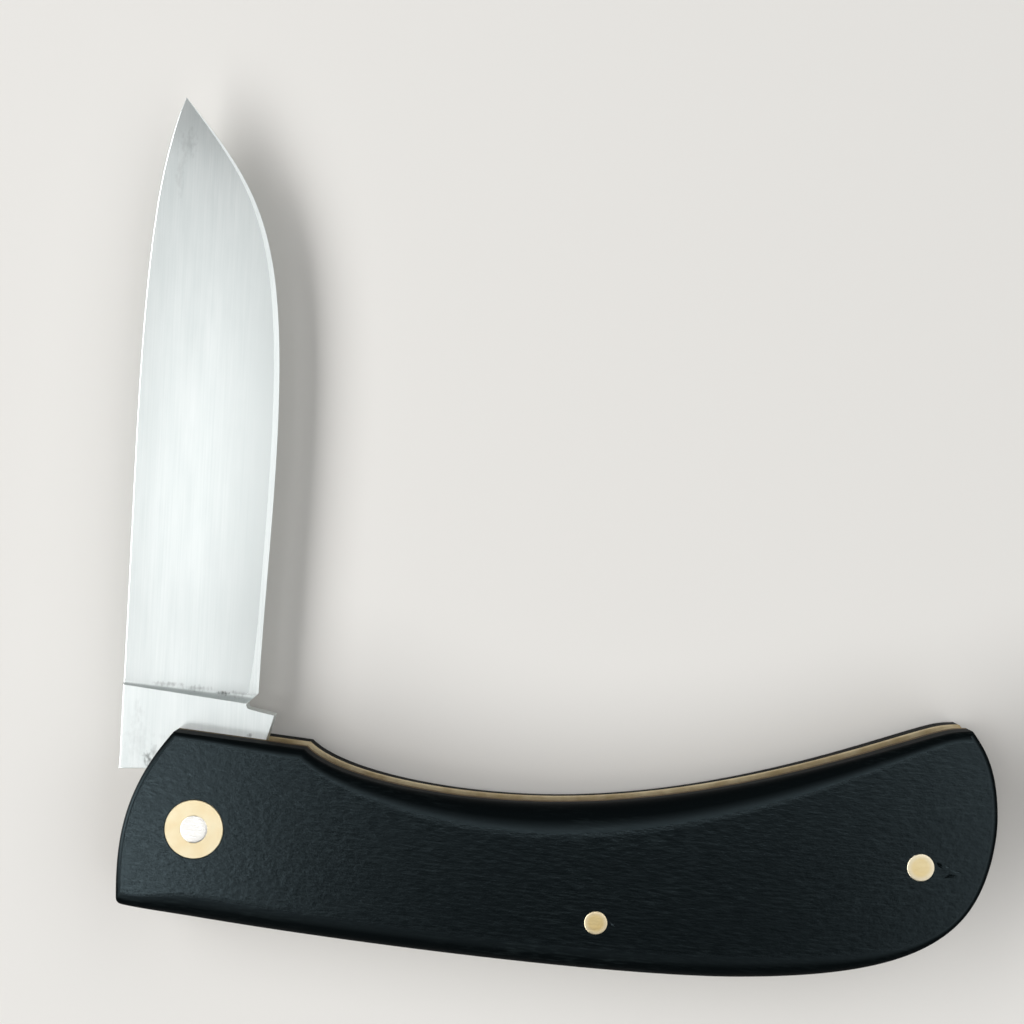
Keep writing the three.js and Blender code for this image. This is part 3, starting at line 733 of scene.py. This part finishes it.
# %% Liner sheets
def sheet_skin(ring, holes, base, top, edge):
    """A flat sheet between two heights, with broken edges: each face is inset by the edge."""
    skin = Skin()
    widths = np.full(len(ring), edge)
    inner = inset(ring, widths, widths)
    rings = [skin.add(inner, base), skin.add(ring, base + edge),
             skin.add(ring, top - edge), skin.add(inner, top)]
    for patch, low, high in zip(("low edge", "wall", "high edge"), rings, rings[1:]):
        skin.band(low, high, patch)
    low_face, high_face = [rings[0]], [rings[3]]
    for centre, radius in holes:
        low, high = skin.add(circle(centre, radius), base), skin.add(circle(centre, radius), top)
        skin.band(low, high, "hole")
        low_face.append(low)
        high_face.append(high)
    skin.fill(low_face, "low face")
    skin.fill(high_face, "high face")
    return skin


# The lower liner gets the brass painted paler as lit, the upper one the same brass painted dark as
# shade.
for side, base, metal in (("lower", SCALE_THICKNESS, lit_liner_brass),
                          ("upper", UPPER_LINER_BASE, shaded_liner_brass)):
    finished(sheet_skin(handle_ring, PIN_HOLES, base, base + LINER_THICKNESS, LINER_EDGE),
             side + "_lit_liner_brass", "handle", [side + "_liner"], metal)

# %% [markdown]
# ## The back spring
# The spring fills the slot along the handle's back. Its front arm is thin, so it can bend, and its
# straight face presses on the tang. Behind the arm it swells round its pin and then ramps down to
# the butt.

# %% Spring outline
STEP_REACH, CAM_DISTANCE, CAM_GAP = 6.58, 6.07, 0.05
SPRING_ANGLE = -9.0
SPRING_NORMAL = 270 + SPRING_ANGLE
SPRING_FRONT = -(STEP_REACH - 0.05)
SPRING_FACE_REACH = 14.5
ARM_THICKNESS, ARM_START, ARM_END = 4.0, 25.0, 37.0
PIN_WALL, BOSS_LENGTH, TAIL_HEIGHT = 1.25, 10.0, 3.4
RAMP_STEPS, SPRING_EDGE = 60, 0.06


def spring_face(x):
    """Point at x on the line that lies square to the spring's normal, just outside the tang's flats."""
    normal = heading(SPRING_NORMAL)
    return (x, (CAM_DISTANCE + CAM_GAP - x * normal[0]) / normal[1])


def spring_ring():
    """The spring's outline, anticlockwise: along the handle's back and round the butt, then back over
    the ramp, the boss and the arm to the straight face."""
    outer = handle_ring[run_starts[1]:run_starts[5]]
    outer = outer[(outer[:, 0] > SPRING_FRONT) & (outer[:, 1] < TAIL_HEIGHT)]
    butt_curve = handle_runs[4][0]
    tail = (float(np.interp(TAIL_HEIGHT, butt_curve[:, 1], butt_curve[:, 0])), TAIL_HEIGHT)
    boss_top = SPRING_PIN_AT[1] + SPRING_PIN_RADIUS + PIN_WALL
    boss = [(SPRING_PIN_AT[0] + half, boss_top) for half in (-BOSS_LENGTH / 2, BOSS_LENGTH / 2)]
    pull, far = np.array([BUTT_REACH - 20.18, boss_top]), np.array([BUTT_REACH + 1, TAIL_HEIGHT])
    ramp = parabola(np.array(boss[1]), pull, far, RAMP_STEPS)
    ramp = ramp[ramp[:, 0] < tail[0] - 0.2]
    arm = [(x, back_height(x) + ARM_THICKNESS) for x in (ARM_START, ARM_END)]
    inner = np.concatenate([
        straight(spring_face(SPRING_FRONT), spring_face(SPRING_FACE_REACH), 4)[:-1],
        bend(spring_face(SPRING_FACE_REACH), SPRING_ANGLE, 0.35, arm[0], SPRING_ANGLE, 0.35, 20),
        bend(arm[1], 0, 0.4, boss[0], 0, 0.4, 20), ramp, [tail]])
    front = (SPRING_FRONT, back_height(SPRING_FRONT))
    return np.concatenate([[front], outer, inner[::-1]])


finished(sheet_skin(spring_ring(), PIN_HOLES[1:], SLOT_BASE, UPPER_LINER_BASE, SPRING_EDGE),
         "back_spring_steel", "handle", ["back_spring"], spring_steel)

# %% [markdown]
# ## Collars and pins
# These are turned parts: a profile carried round an axis. The pins were peened, which swells their
# ends until they fill the holes, and then ground flush, which leaves a crown too slight to feel.

# %% Turned parts
def turned_skin(centre, profile, closed):
    """A profile of radius, height and perhaps rim value, carried round an upright axis. A closed profile
    makes a ring, and an open one is capped at both ends."""
    skin = Skin()
    rings = [skin.add(circle(centre, radius), height, *rim) for radius, height, *rim in profile]
    for first, second in zip(rings, rings[1:] + rings[:1] if closed else rings[1:]):
        skin.band(first, second, "turned")
    if not closed:
        skin.fill([rings[0]], "low end")
        skin.fill([rings[-1]], "high end")
    return skin


def pin_profile(radius, bore):
    """Half profile of a pin from end to end: a ground face with a broken edge, then the peened swelling,
    which fills the bore, then the plain rod, mirrored about the middle. The rim value goes to 1 on the
    swelling, where a brass pin is painted paler as a highlight round its edge."""
    swell = bore - 0.012
    end = [(radius * 0.6, 0.0, 0.0), (radius * 0.86, 0.001, 0.8), (swell - 0.08, 0.003, 1.0),
           (swell - 0.03, 0.01, 1.0), (swell, 0.035, 1.0), (swell, 0.35, 1.0), (radius, 0.8, 0.0)]
    return end + [(r, HANDLE_THICKNESS - z, rim) for r, z, rim in end[::-1]]


for name, (centre, bore), radius, slot, metal in (
        ("pivot_pin", PIN_HOLES[0], PIVOT_RADIUS, "pivot_steel", pin_steel),
        ("spring_pin", PIN_HOLES[1], SPRING_PIN_RADIUS, "pin_brass", pin_brass),
        ("butt_pin", PIN_HOLES[2], BUTT_PIN_RADIUS, "pin_brass", lit_butt_brass)):
    finished(turned_skin(centre, pin_profile(radius, bore), False),
             name + "_rod", "handle", [name], metal)

collar_bore = PIVOT_RADIUS + PIN_FIT
collar_depths = [(collar_bore, 0.02), (collar_bore + 0.02, 0.0), (COLLAR_RADIUS - 0.04, 0.0),
                 (COLLAR_RADIUS, 0.04), (COLLAR_RADIUS, COLLAR_DEPTH), (collar_bore, COLLAR_DEPTH)]
for side in ("lower", "upper"):
    profile = [(r, d if side == "lower" else HANDLE_THICKNESS - d) for r, d in collar_depths]
    finished(turned_skin(PIVOT_AT, profile, True), side + "_collar_ring", "handle",
             [side + "_collar"], collar_brass)

# %% [markdown]
# ## The blade
# The blade is drawn with its back along +X and turned to its half stop at the end. Its side has three
# parts. The tang lies round the pivot, the ricasso is the flat between the tang and the plunge line,
# and the rest is ground flat down to a narrow bevel. The grinder's edge leaves the plunge, a short
# steep step that is deeper towards the cutting edge.

# %% Blade lines
STEP_HEADING = 90 - BLADE_TURN
SPINE_PROUD = 0.35
back_at_step = np.array([-STEP_REACH, back_height(-STEP_REACH)])
SPINE_DISTANCE = SPINE_PROUD + float(back_at_step @ heading(270 - STEP_HEADING))
TIP = (86.7, SPINE_DISTANCE - 4.0)
HEEL, BELLY = (15.7, -6.1), (46.5, -6.85)
SPINE_END = (42.0, SPINE_DISTANCE)
PLUNGE_REACH, PLUNGE_RUN_SPINE, PLUNGE_RUN_EDGE = 16.1, 0.45, 0.85
KICK_REACH, KICK_LENGTH, KICK_RELIEF = 13.3, 3.0, 0.35
NOTCH_START, NOTCH_END = (14.0, -4.9), (14.5, -4.9)
CAM_RADIUS, KICK_RADIUS, NOTCH_RADIUS = 1.2, 0.25, 0.35
CLOSED, OPEN = -87, 90

spine_line = np.concatenate([straight((PLUNGE_REACH, SPINE_DISTANCE), SPINE_END, 200)[:-1],
                             bend(SPINE_END, 0, 0.56, TIP, -21, 0.19, 400)])
edge_line = np.concatenate([bend(HEEL, 0, 0.26, BELLY, 0, 0.33, 300)[:-1],
                            bend(BELLY, 0, 0.6, TIP, 41, 0.33, 500)])


def spine_at(x):
    """Height of the blade's back at x."""
    return np.interp(x, spine_line[:, 0], spine_line[:, 1])


def edge_at(x):
    """Height of the cutting edge at x."""
    return np.interp(x, edge_line[:, 0], edge_line[:, 1])


print("the spine lies", round(SPINE_DISTANCE, 2), "mm from the pivot")

# %% [markdown]
# The tang has two flats at one distance from the pivot, for the half stop and for the open blade, and
# a side that is relieved behind the kick, for the closed one. The spring's end meets a square step
# when the knife is open.

# %% Tang and kick
def flat_heading(turn):
    """Heading, in the blade's own frame, of the tang flat that meets the spring after a turn."""
    return SPRING_NORMAL - BLADE_TURN - turn


def on_closed_flat(x, distance):
    """Point at x on the flat that faces the spring when the knife is closed."""
    normal = heading(flat_heading(CLOSED))
    return np.array([x, (distance - x * normal[0]) / normal[1]])


RELIEVED = CAM_DISTANCE - KICK_RELIEF
rear_lower = crossing(flat_heading(0), CAM_DISTANCE, flat_heading(CLOSED), RELIEVED)
rear_upper = crossing(flat_heading(0), CAM_DISTANCE, flat_heading(OPEN), CAM_DISTANCE)
step_inner = crossing(STEP_HEADING, STEP_REACH, flat_heading(OPEN), CAM_DISTANCE)
step_outer = crossing(STEP_HEADING, STEP_REACH, 90, SPINE_DISTANCE)
under_step = crossing(STEP_HEADING, STEP_REACH, flat_heading(CLOSED), RELIEVED)
kick = on_closed_flat(KICK_REACH, CAM_DISTANCE)
kick_back = on_closed_flat(KICK_REACH - KICK_LENGTH, RELIEVED)
upper_corner = eased_corner(step_inner, rear_upper, rear_lower, CAM_RADIUS, 10)
lower_corner = eased_corner(rear_upper, rear_lower, kick_back, CAM_RADIUS, 10)
kick_curve = eased_corner(kick_back, kick, NOTCH_START, KICK_RADIUS)
notch_curve = eased_corner(kick, NOTCH_START, NOTCH_END, NOTCH_RADIUS, 5)
print("the kick lies at", kick.round(2), "and the step at", step_inner.round(2))

# %% [markdown]
# The outline goes round in six chains. Points of the lower and the upper chains match one to one, so
# straight lines between them make the side's grid. The plunge takes the first few columns, and the
# rest crowd together towards the tip, where the outline curves most.

# %% Blade outline
PLUNGE_STEPS, HEEL_STEPS, GROUND_STEPS, STEP_STEPS = 6, 2, 90, 5

tang_chain = np.concatenate([
    straight(step_inner, upper_corner[0], 16)[:-1], upper_corner[:-1],
    straight(upper_corner[-1], lower_corner[0], 14)[:-1], lower_corner[:-1],
    straight(lower_corner[-1], under_step, 16)])
under_chain = np.concatenate([
    straight(under_step, kick_back, 6)[:-1], straight(kick_back, kick_curve[0], 4)[:-1],
    kick_curve[:-1], straight(kick_curve[-1], notch_curve[0], 5)[:-1], notch_curve, [NOTCH_END]])
top_share = (under_chain[:, 0] - under_chain[0, 0]) / (under_chain[-1, 0] - under_chain[0, 0])
ricasso_top_x = step_outer[0] + (PLUNGE_REACH - step_outer[0]) * top_share
ricasso_top = np.stack([ricasso_top_x, np.full(len(top_share), SPINE_DISTANCE)], 1)

crowding = np.sin(np.linspace(0, np.pi / 2, GROUND_STEPS + 1))
plunge_foot = np.array(NOTCH_END) + PLUNGE_RUN_EDGE * np.array([1, -1])
ground_edge_x = HEEL[0] + (TIP[0] - HEEL[0]) * crowding
edge_chain = np.concatenate([
    straight(NOTCH_END, plunge_foot, PLUNGE_STEPS)[:-1],
    straight(plunge_foot, HEEL, HEEL_STEPS)[:-1],
    np.stack([ground_edge_x, edge_at(ground_edge_x)], 1)])
plunge_top = PLUNGE_REACH + PLUNGE_RUN_SPINE
ground_top = PLUNGE_REACH + 2 * PLUNGE_RUN_SPINE
top_x = np.concatenate([
    straight(PLUNGE_REACH, plunge_top, PLUNGE_STEPS)[:-1],
    straight(plunge_top, ground_top, HEEL_STEPS)[:-1],
    ground_top + (TIP[0] - ground_top) * crowding])
top_chain = np.stack([top_x, spine_at(top_x)], 1)
top_chain[-1] = edge_chain[-1] = TIP
print("columns along the ground blade:", len(edge_chain))

# %% [markdown]
# The heights come from the grind. Across the ground side they fall in a straight line from the back
# to the bevel's shoulder, and then to the edge. The back itself gets thinner towards the tip, because
# the grind's slope stays nearly the same where the blade is narrow. The bevel is widest at the heel,
# where the stone starts, and gets narrower as the blade does.

# %% Blade heights
SPINE_THICKNESS, POINT_THICKNESS = 2.75, 1.1
SHOULDER_HALF, EDGE_HALF, STEEPEST = 0.21, 0.03, 0.98
BEVEL_WIDTH, BEVEL_NARROWING, HEEL_BEVEL_END, HEEL_BEVEL_GAIN = 0.65, 0.75, 25.0, 0.55
ROWS, BLEND = 22, 0.05


def ground_heights(columns_edge, columns_top):
    """Heights over the grid of columns and rows, and each row's share of the way from edge to spine. The
    back's height above the bevel is the lesser of a (from the taper) and b (from the steepest grind),
    blended: half of a + b less the root of (a - b) squared + 4 * blend * a * b. The plunge goes from
    the full thickness to the ground one by 1 - (1 - t) squared."""
    width = columns_top[:, 1] - columns_edge[:, 1]
    heel_slope = (BLADE_HALF - SHOULDER_HALF) / (SPINE_DISTANCE - HEEL[1])
    along = (columns_top[:, 0] - PLUNGE_REACH) / (TIP[0] - PLUNGE_REACH)
    tapered = (SPINE_THICKNESS + (POINT_THICKNESS - SPINE_THICKNESS) * along) / 2
    near_heel = np.clip((HEEL_BEVEL_END - columns_edge[:, 0]) / (HEEL_BEVEL_END - HEEL[0]), 0, 1)
    bevel = (BEVEL_WIDTH * (width / width.max()) ** BEVEL_NARROWING
             + HEEL_BEVEL_GAIN * near_heel ** 2)
    shoulder = EDGE_HALF + (SHOULDER_HALF - EDGE_HALF) * bevel / BEVEL_WIDTH
    shoulder_share = bevel / np.maximum(width, 1e-6)
    by_taper, by_slope = tapered - shoulder, STEEPEST * heel_slope * (width - bevel)
    back = shoulder + (by_taper + by_slope
                       - np.sqrt((by_taper - by_slope) ** 2 + 4 * BLEND * by_taper * by_slope)) / 2
    rise = np.linspace(0, 1, ROWS - 1)
    shares = np.concatenate([np.zeros((len(width), 1)),
                             shoulder_share[:, None] * (1 - rise) + rise], axis=1)
    heights = np.concatenate([np.full((len(width), 1), EDGE_HALF),
                              shoulder[:, None] * (1 - rise) + back[:, None] * rise], axis=1)
    step = np.arange(PLUNGE_STEPS + 1) / PLUNGE_STEPS
    cut = (1 - (1 - step) ** 2)[:, None]
    heights[:PLUNGE_STEPS + 1] = BLADE_HALF + cut * (heights[:PLUNGE_STEPS + 1] - BLADE_HALF)
    return heights, shares


heights, shares = ground_heights(edge_chain, top_chain)
print("half thickness of the back at the middle of the blade:", heights[len(heights) // 2, -1].round(2))

# %% [markdown]
# The last step joins it all. The side's grid is laid on an outline that is inset by a small ease, and
# the ease is then rounded over to the true outline. Along the back it is a fifth of a millimetre,
# because the maker broke that edge so that it doesn't bite the thumb. It vanishes along the edge.

# %% Blade skin
EASE_BACK, EASE_TANG, EASE_EDGE, EASE_LIMIT = 0.22, 0.07, 0.012, 0.45
EASE_STEPS = 4


def blade_skin():
    """Both sides of the blade, with the rounded arris and the wall between them. The ricasso and the
    ground side are grids between their lower and upper chains, and the tang is a band round its bore."""
    skin = Skin()
    chains = [tang_chain, under_chain, edge_chain, top_chain[::-1], ricasso_top[::-1],
              straight(step_outer, step_inner, STEP_STEPS)]
    ends = np.cumsum([len(chain) - 1 for chain in chains])
    true_ring = joined(*chains)
    back_ease = np.minimum(EASE_BACK, EASE_LIMIT * heights[:, -1])
    back_ease[-1] = EASE_EDGE
    edge_ease = np.full(len(edge_chain), EASE_EDGE)
    edge_ease[:PLUNGE_STEPS] = np.linspace(EASE_TANG, EASE_EDGE, PLUNGE_STEPS)
    ease = joined(np.full(len(tang_chain), EASE_TANG), np.full(len(under_chain), EASE_TANG),
                  edge_ease, back_ease[::-1], np.full(len(ricasso_top), EASE_BACK),
                  np.full(STEP_STEPS + 1, EASE_TANG))
    inner_ring = inset(true_ring, ease, ease)
    wrapped = np.concatenate([inner_ring, inner_ring[:1]])
    tang_in, under_in, edge_in, top_in, ricasso_in, step_in = (
        wrapped[start:end + 1] for start, end in zip([0, *ends[:-1]], ends))
    lower_rows = ROWS - STEP_STEPS
    left_low = straight(under_in[0], tang_in[0], lower_rows - 1)
    left_column = np.concatenate([left_low[:-1], step_in[::-1]])
    left_share = np.linalg.norm(left_column - left_column[0], axis=1)
    left_share /= left_share[-1]
    ricasso = (under_in[:, None] * (1 - left_share[None, :, None])
               + ricasso_in[::-1][:, None] * left_share[None, :, None])
    ricasso[0] = left_column
    ground = edge_in[:, None] * (1 - shares[..., None]) + top_in[::-1][:, None] * shares[..., None]
    tang_outer = np.concatenate([tang_in, left_column[1:lower_rows - 1]])
    turn = np.arctan2(tang_outer[:, 1], tang_outer[:, 0])
    bore = (PIVOT_RADIUS + PIN_FIT) * np.stack([np.cos(turn), np.sin(turn)], 1)
    borders = []
    for side in (1, -1):
        ricasso_numbers = skin.add(ricasso, side * BLADE_HALF)
        rest = skin.add(ground[1:-1], side * heights[1:-1])
        ground_numbers = np.concatenate([ricasso_numbers[-1:], rest])
        tip = skin.add(ground[-1, :1], side * EDGE_HALF)
        tang_numbers = skin.add(tang_in[1:-1], side * BLADE_HALF)
        bore_numbers = skin.add(bore, side * BLADE_HALF)
        inner_corner = ricasso_numbers[0, lower_rows - 1]
        tang_border = np.concatenate([[inner_corner], tang_numbers, [ricasso_numbers[0, 0]]])
        tang_ring = np.concatenate([tang_border, ricasso_numbers[0, 1:lower_rows - 1]])
        skin.band(tang_ring, bore_numbers, "flat side")
        skin.grid(ricasso_numbers, "flat side")
        skin.grid(ground_numbers[:PLUNGE_STEPS + 1], "plunge")
        skin.grid(ground_numbers[PLUNGE_STEPS:, :2], "bevel")
        skin.grid(ground_numbers[PLUNGE_STEPS:, 1:], "ground side")
        last = ground_numbers[-1]
        skin.cover(np.stack([last[:-1], last[1:], np.full(ROWS - 1, tip[0])], 1), "ground side")
        border = np.concatenate([
            tang_border[:-1], ricasso_numbers[:-1, 0], ground_numbers[:, 0], tip,
            ground_numbers[::-1, -1], ricasso_numbers[-2:0:-1, -1],
            ricasso_numbers[0, :lower_rows - 1:-1]])
        previous = border
        level = np.abs(skin.points[border, 2])
        for angle in np.linspace(0, np.pi / 2, EASE_STEPS + 1)[1:]:
            width = (1 - np.sin(angle)) * ease
            ring = skin.add(inset(true_ring, width, width), side * (level - ease * (1 - np.cos(angle))))
            skin.band(previous, ring, "arris")
            previous = ring
        borders.append((previous, bore_numbers))
    skin.band(borders[0][0], borders[1][0], "wall")
    skin.band(borders[0][1], borders[1][1], "bore")
    across = np.array([heading(BLADE_TURN), heading(BLADE_TURN + 90)])
    skin.points[:, :2] = skin.points[:, :2] @ across
    skin.points[:, 2] += MIDDLE
    return skin


blade_shape = blade_skin()
blade = finished(blade_shape, "blade_ground", "blade", ["blade"], blade_steel)

# %% [markdown]
# ## Where the blade shines, and its painted side shade
# Along its sides the ground steel is painted a little greyer, most of all beside the bevel: this is
# painted shade, for the darker reflection that the sides show. The bevel shines, and the plunge stays
# rough. The steel reads both from the mesh: polish has one value for each face, and the side shade
# has one for each corner of a face, so that it runs smoothly across the ground side and still ends
# sharply at the bevel.

# %% Polish and painted side shade
PATCH_POLISH = {"bevel": 1.0, "plunge": -2.0}
EDGE_MARGIN, BACK_MARGIN, BACK_SHARE, SIDE_SHADE_POWER = 0.5, 0.25, 0.45, 1.2
SIDE_SHADE_END, SIDE_SHADE_FADE = 76, 16


def side_shade_amount(points):
    """How much painted shade greys the steel at each point: (1 - share / margin) to the power 1.2,
    where share is the point's way across the blade, from the edge and, weaker, from the back. It fades
    towards the tip."""
    own = points[:, :2] @ np.array([heading(-BLADE_TURN), heading(90 - BLADE_TURN)])
    low, high = edge_at(own[:, 0]), spine_at(own[:, 0])
    share = (own[:, 1] - low) / np.maximum(high - low, 1)
    by_edge = np.clip(1 - share / EDGE_MARGIN, 0, 1) ** SIDE_SHADE_POWER
    by_back = np.clip(1 - (1 - share) / BACK_MARGIN, 0, 1) ** SIDE_SHADE_POWER
    return (by_edge + BACK_SHARE * by_back) * np.clip((SIDE_SHADE_END - own[:, 0]) / SIDE_SHADE_FADE, 0, 1)


polish = np.array([PATCH_POLISH.get(patch, 0.0) for patch in blade_shape.patches])
write_floats(blade.data, "polish", "FACE", polish)
corner_patch = np.repeat(blade_shape.patches, [len(face) for face in blade_shape.faces])
corner_point = read_all(blade.data.loops, "vertex_index", np.int32)
# Painted shade on the ground side, strongest beside the bevel and weaker by the back.
side_shade = np.where(corner_patch == "ground side", side_shade_amount(blade_shape.points)[corner_point], 0)
write_floats(blade.data, "side_shade", "CORNER", side_shade)
print("polished faces:", int((polish > 0).sum()), "most_side_shaded corner:", round(float(side_shade.max()), 2))

# %% [markdown]
# ## Floor, light and camera
# A plain pale floor carries the knife. Five level panels of soft light hang one metre above it, and a
# weak sky fills the rest. A polished face shows the lamp that lies in its mirror direction, so the
# panels are placed for what they do to the knife: the window panel gives the sheen at the front of the
# wood, the strip panel and the weak one north of it light the blade's ground side, and the east and
# west panels light the rest and give the soft shadow.

# %% Floor
floor_finish, floor_tree = new_material("pale_floor")
floor_shader = add_node(floor_tree, "BsdfPrincipled", {
    "Base Color": linear("#e7e5e1"), "Roughness": 0.9, "Specular IOR Level": 0.1})
add_node(floor_tree, "OutputMaterial", {"Surface": floor_shader.outputs["BSDF"]})
floor_mesh = bpy.data.meshes.new("floor")
floor_mesh.from_pydata([(-6, -6, 0), (6, -6, 0), (6, 6, 0), (-6, 6, 0)], [], [(0, 1, 2, 3)])
floor_mesh.materials.append(floor_finish)
floor = placed("floor", floor_mesh)
print("floor laid")

# %% Lights
LAMP_HEIGHT = 1.0


def soft_panel(name, west, east, south, north, radiance):
    """A level panel of light one metre above the floor, between four sides in metres. Its power is the
    radiance times pi times its area."""
    data = bpy.data.lights.new(name, "AREA")
    data.shape = "RECTANGLE"
    data.size, data.size_y = east - west, north - south
    data.energy = radiance * np.pi * data.size * data.size_y
    lamp = placed(name, data)
    lamp.location = ((west + east) / 2, (south + north) / 2, LAMP_HEIGHT)
    lamp.visible_camera = False


soft_panel("window_panel", -0.30, -0.16, -0.25, -0.10, 4.8)
soft_panel("strip_panel", -0.21, 0.31, 0.0, 0.145, 3.55)
soft_panel("east_panel", 0.32, 1.9, -1.2, 1.8, 1.05)
soft_panel("west_panel", -1.8, -0.6, -1.4, 1.1, 4.5)
soft_panel("north_panel", -0.30, 0.10, 0.22, 0.50, 0.2)
world = bpy.data.worlds.new("grey_sky")
bpy.context.scene.world = world
world.use_nodes = True
sky = world.node_tree.nodes["Background"]
sky.inputs["Color"].default_value = linear("#f2f4f6")
sky.inputs["Strength"].default_value = 0.03
print("lamps:", len(bpy.data.lights), "sky:", world.name)

# %% [markdown]
# The camera looks straight down from a quarter of a metre, as the photo's did. At that height the
# lower liner just shows beside the upper one.

# %% Camera
LENS, SENSOR = 71.5, 36.0
CAMERA_AT = (0.03725, 0.03714, 0.250)
camera_data = bpy.data.cameras.new("camera")
camera_data.lens, camera_data.sensor_width = LENS, SENSOR
camera_data.clip_start = 0.01
camera = placed("camera", camera_data)
camera.location = CAMERA_AT
bpy.context.scene.camera = camera
bpy.context.scene.view_settings.view_transform = "Standard"
framed = (CAMERA_AT[2] / MM - MIDDLE) * SENSOR / LENS
print("the picture is", round(framed, 1), "mm wide at the middle of the knife")
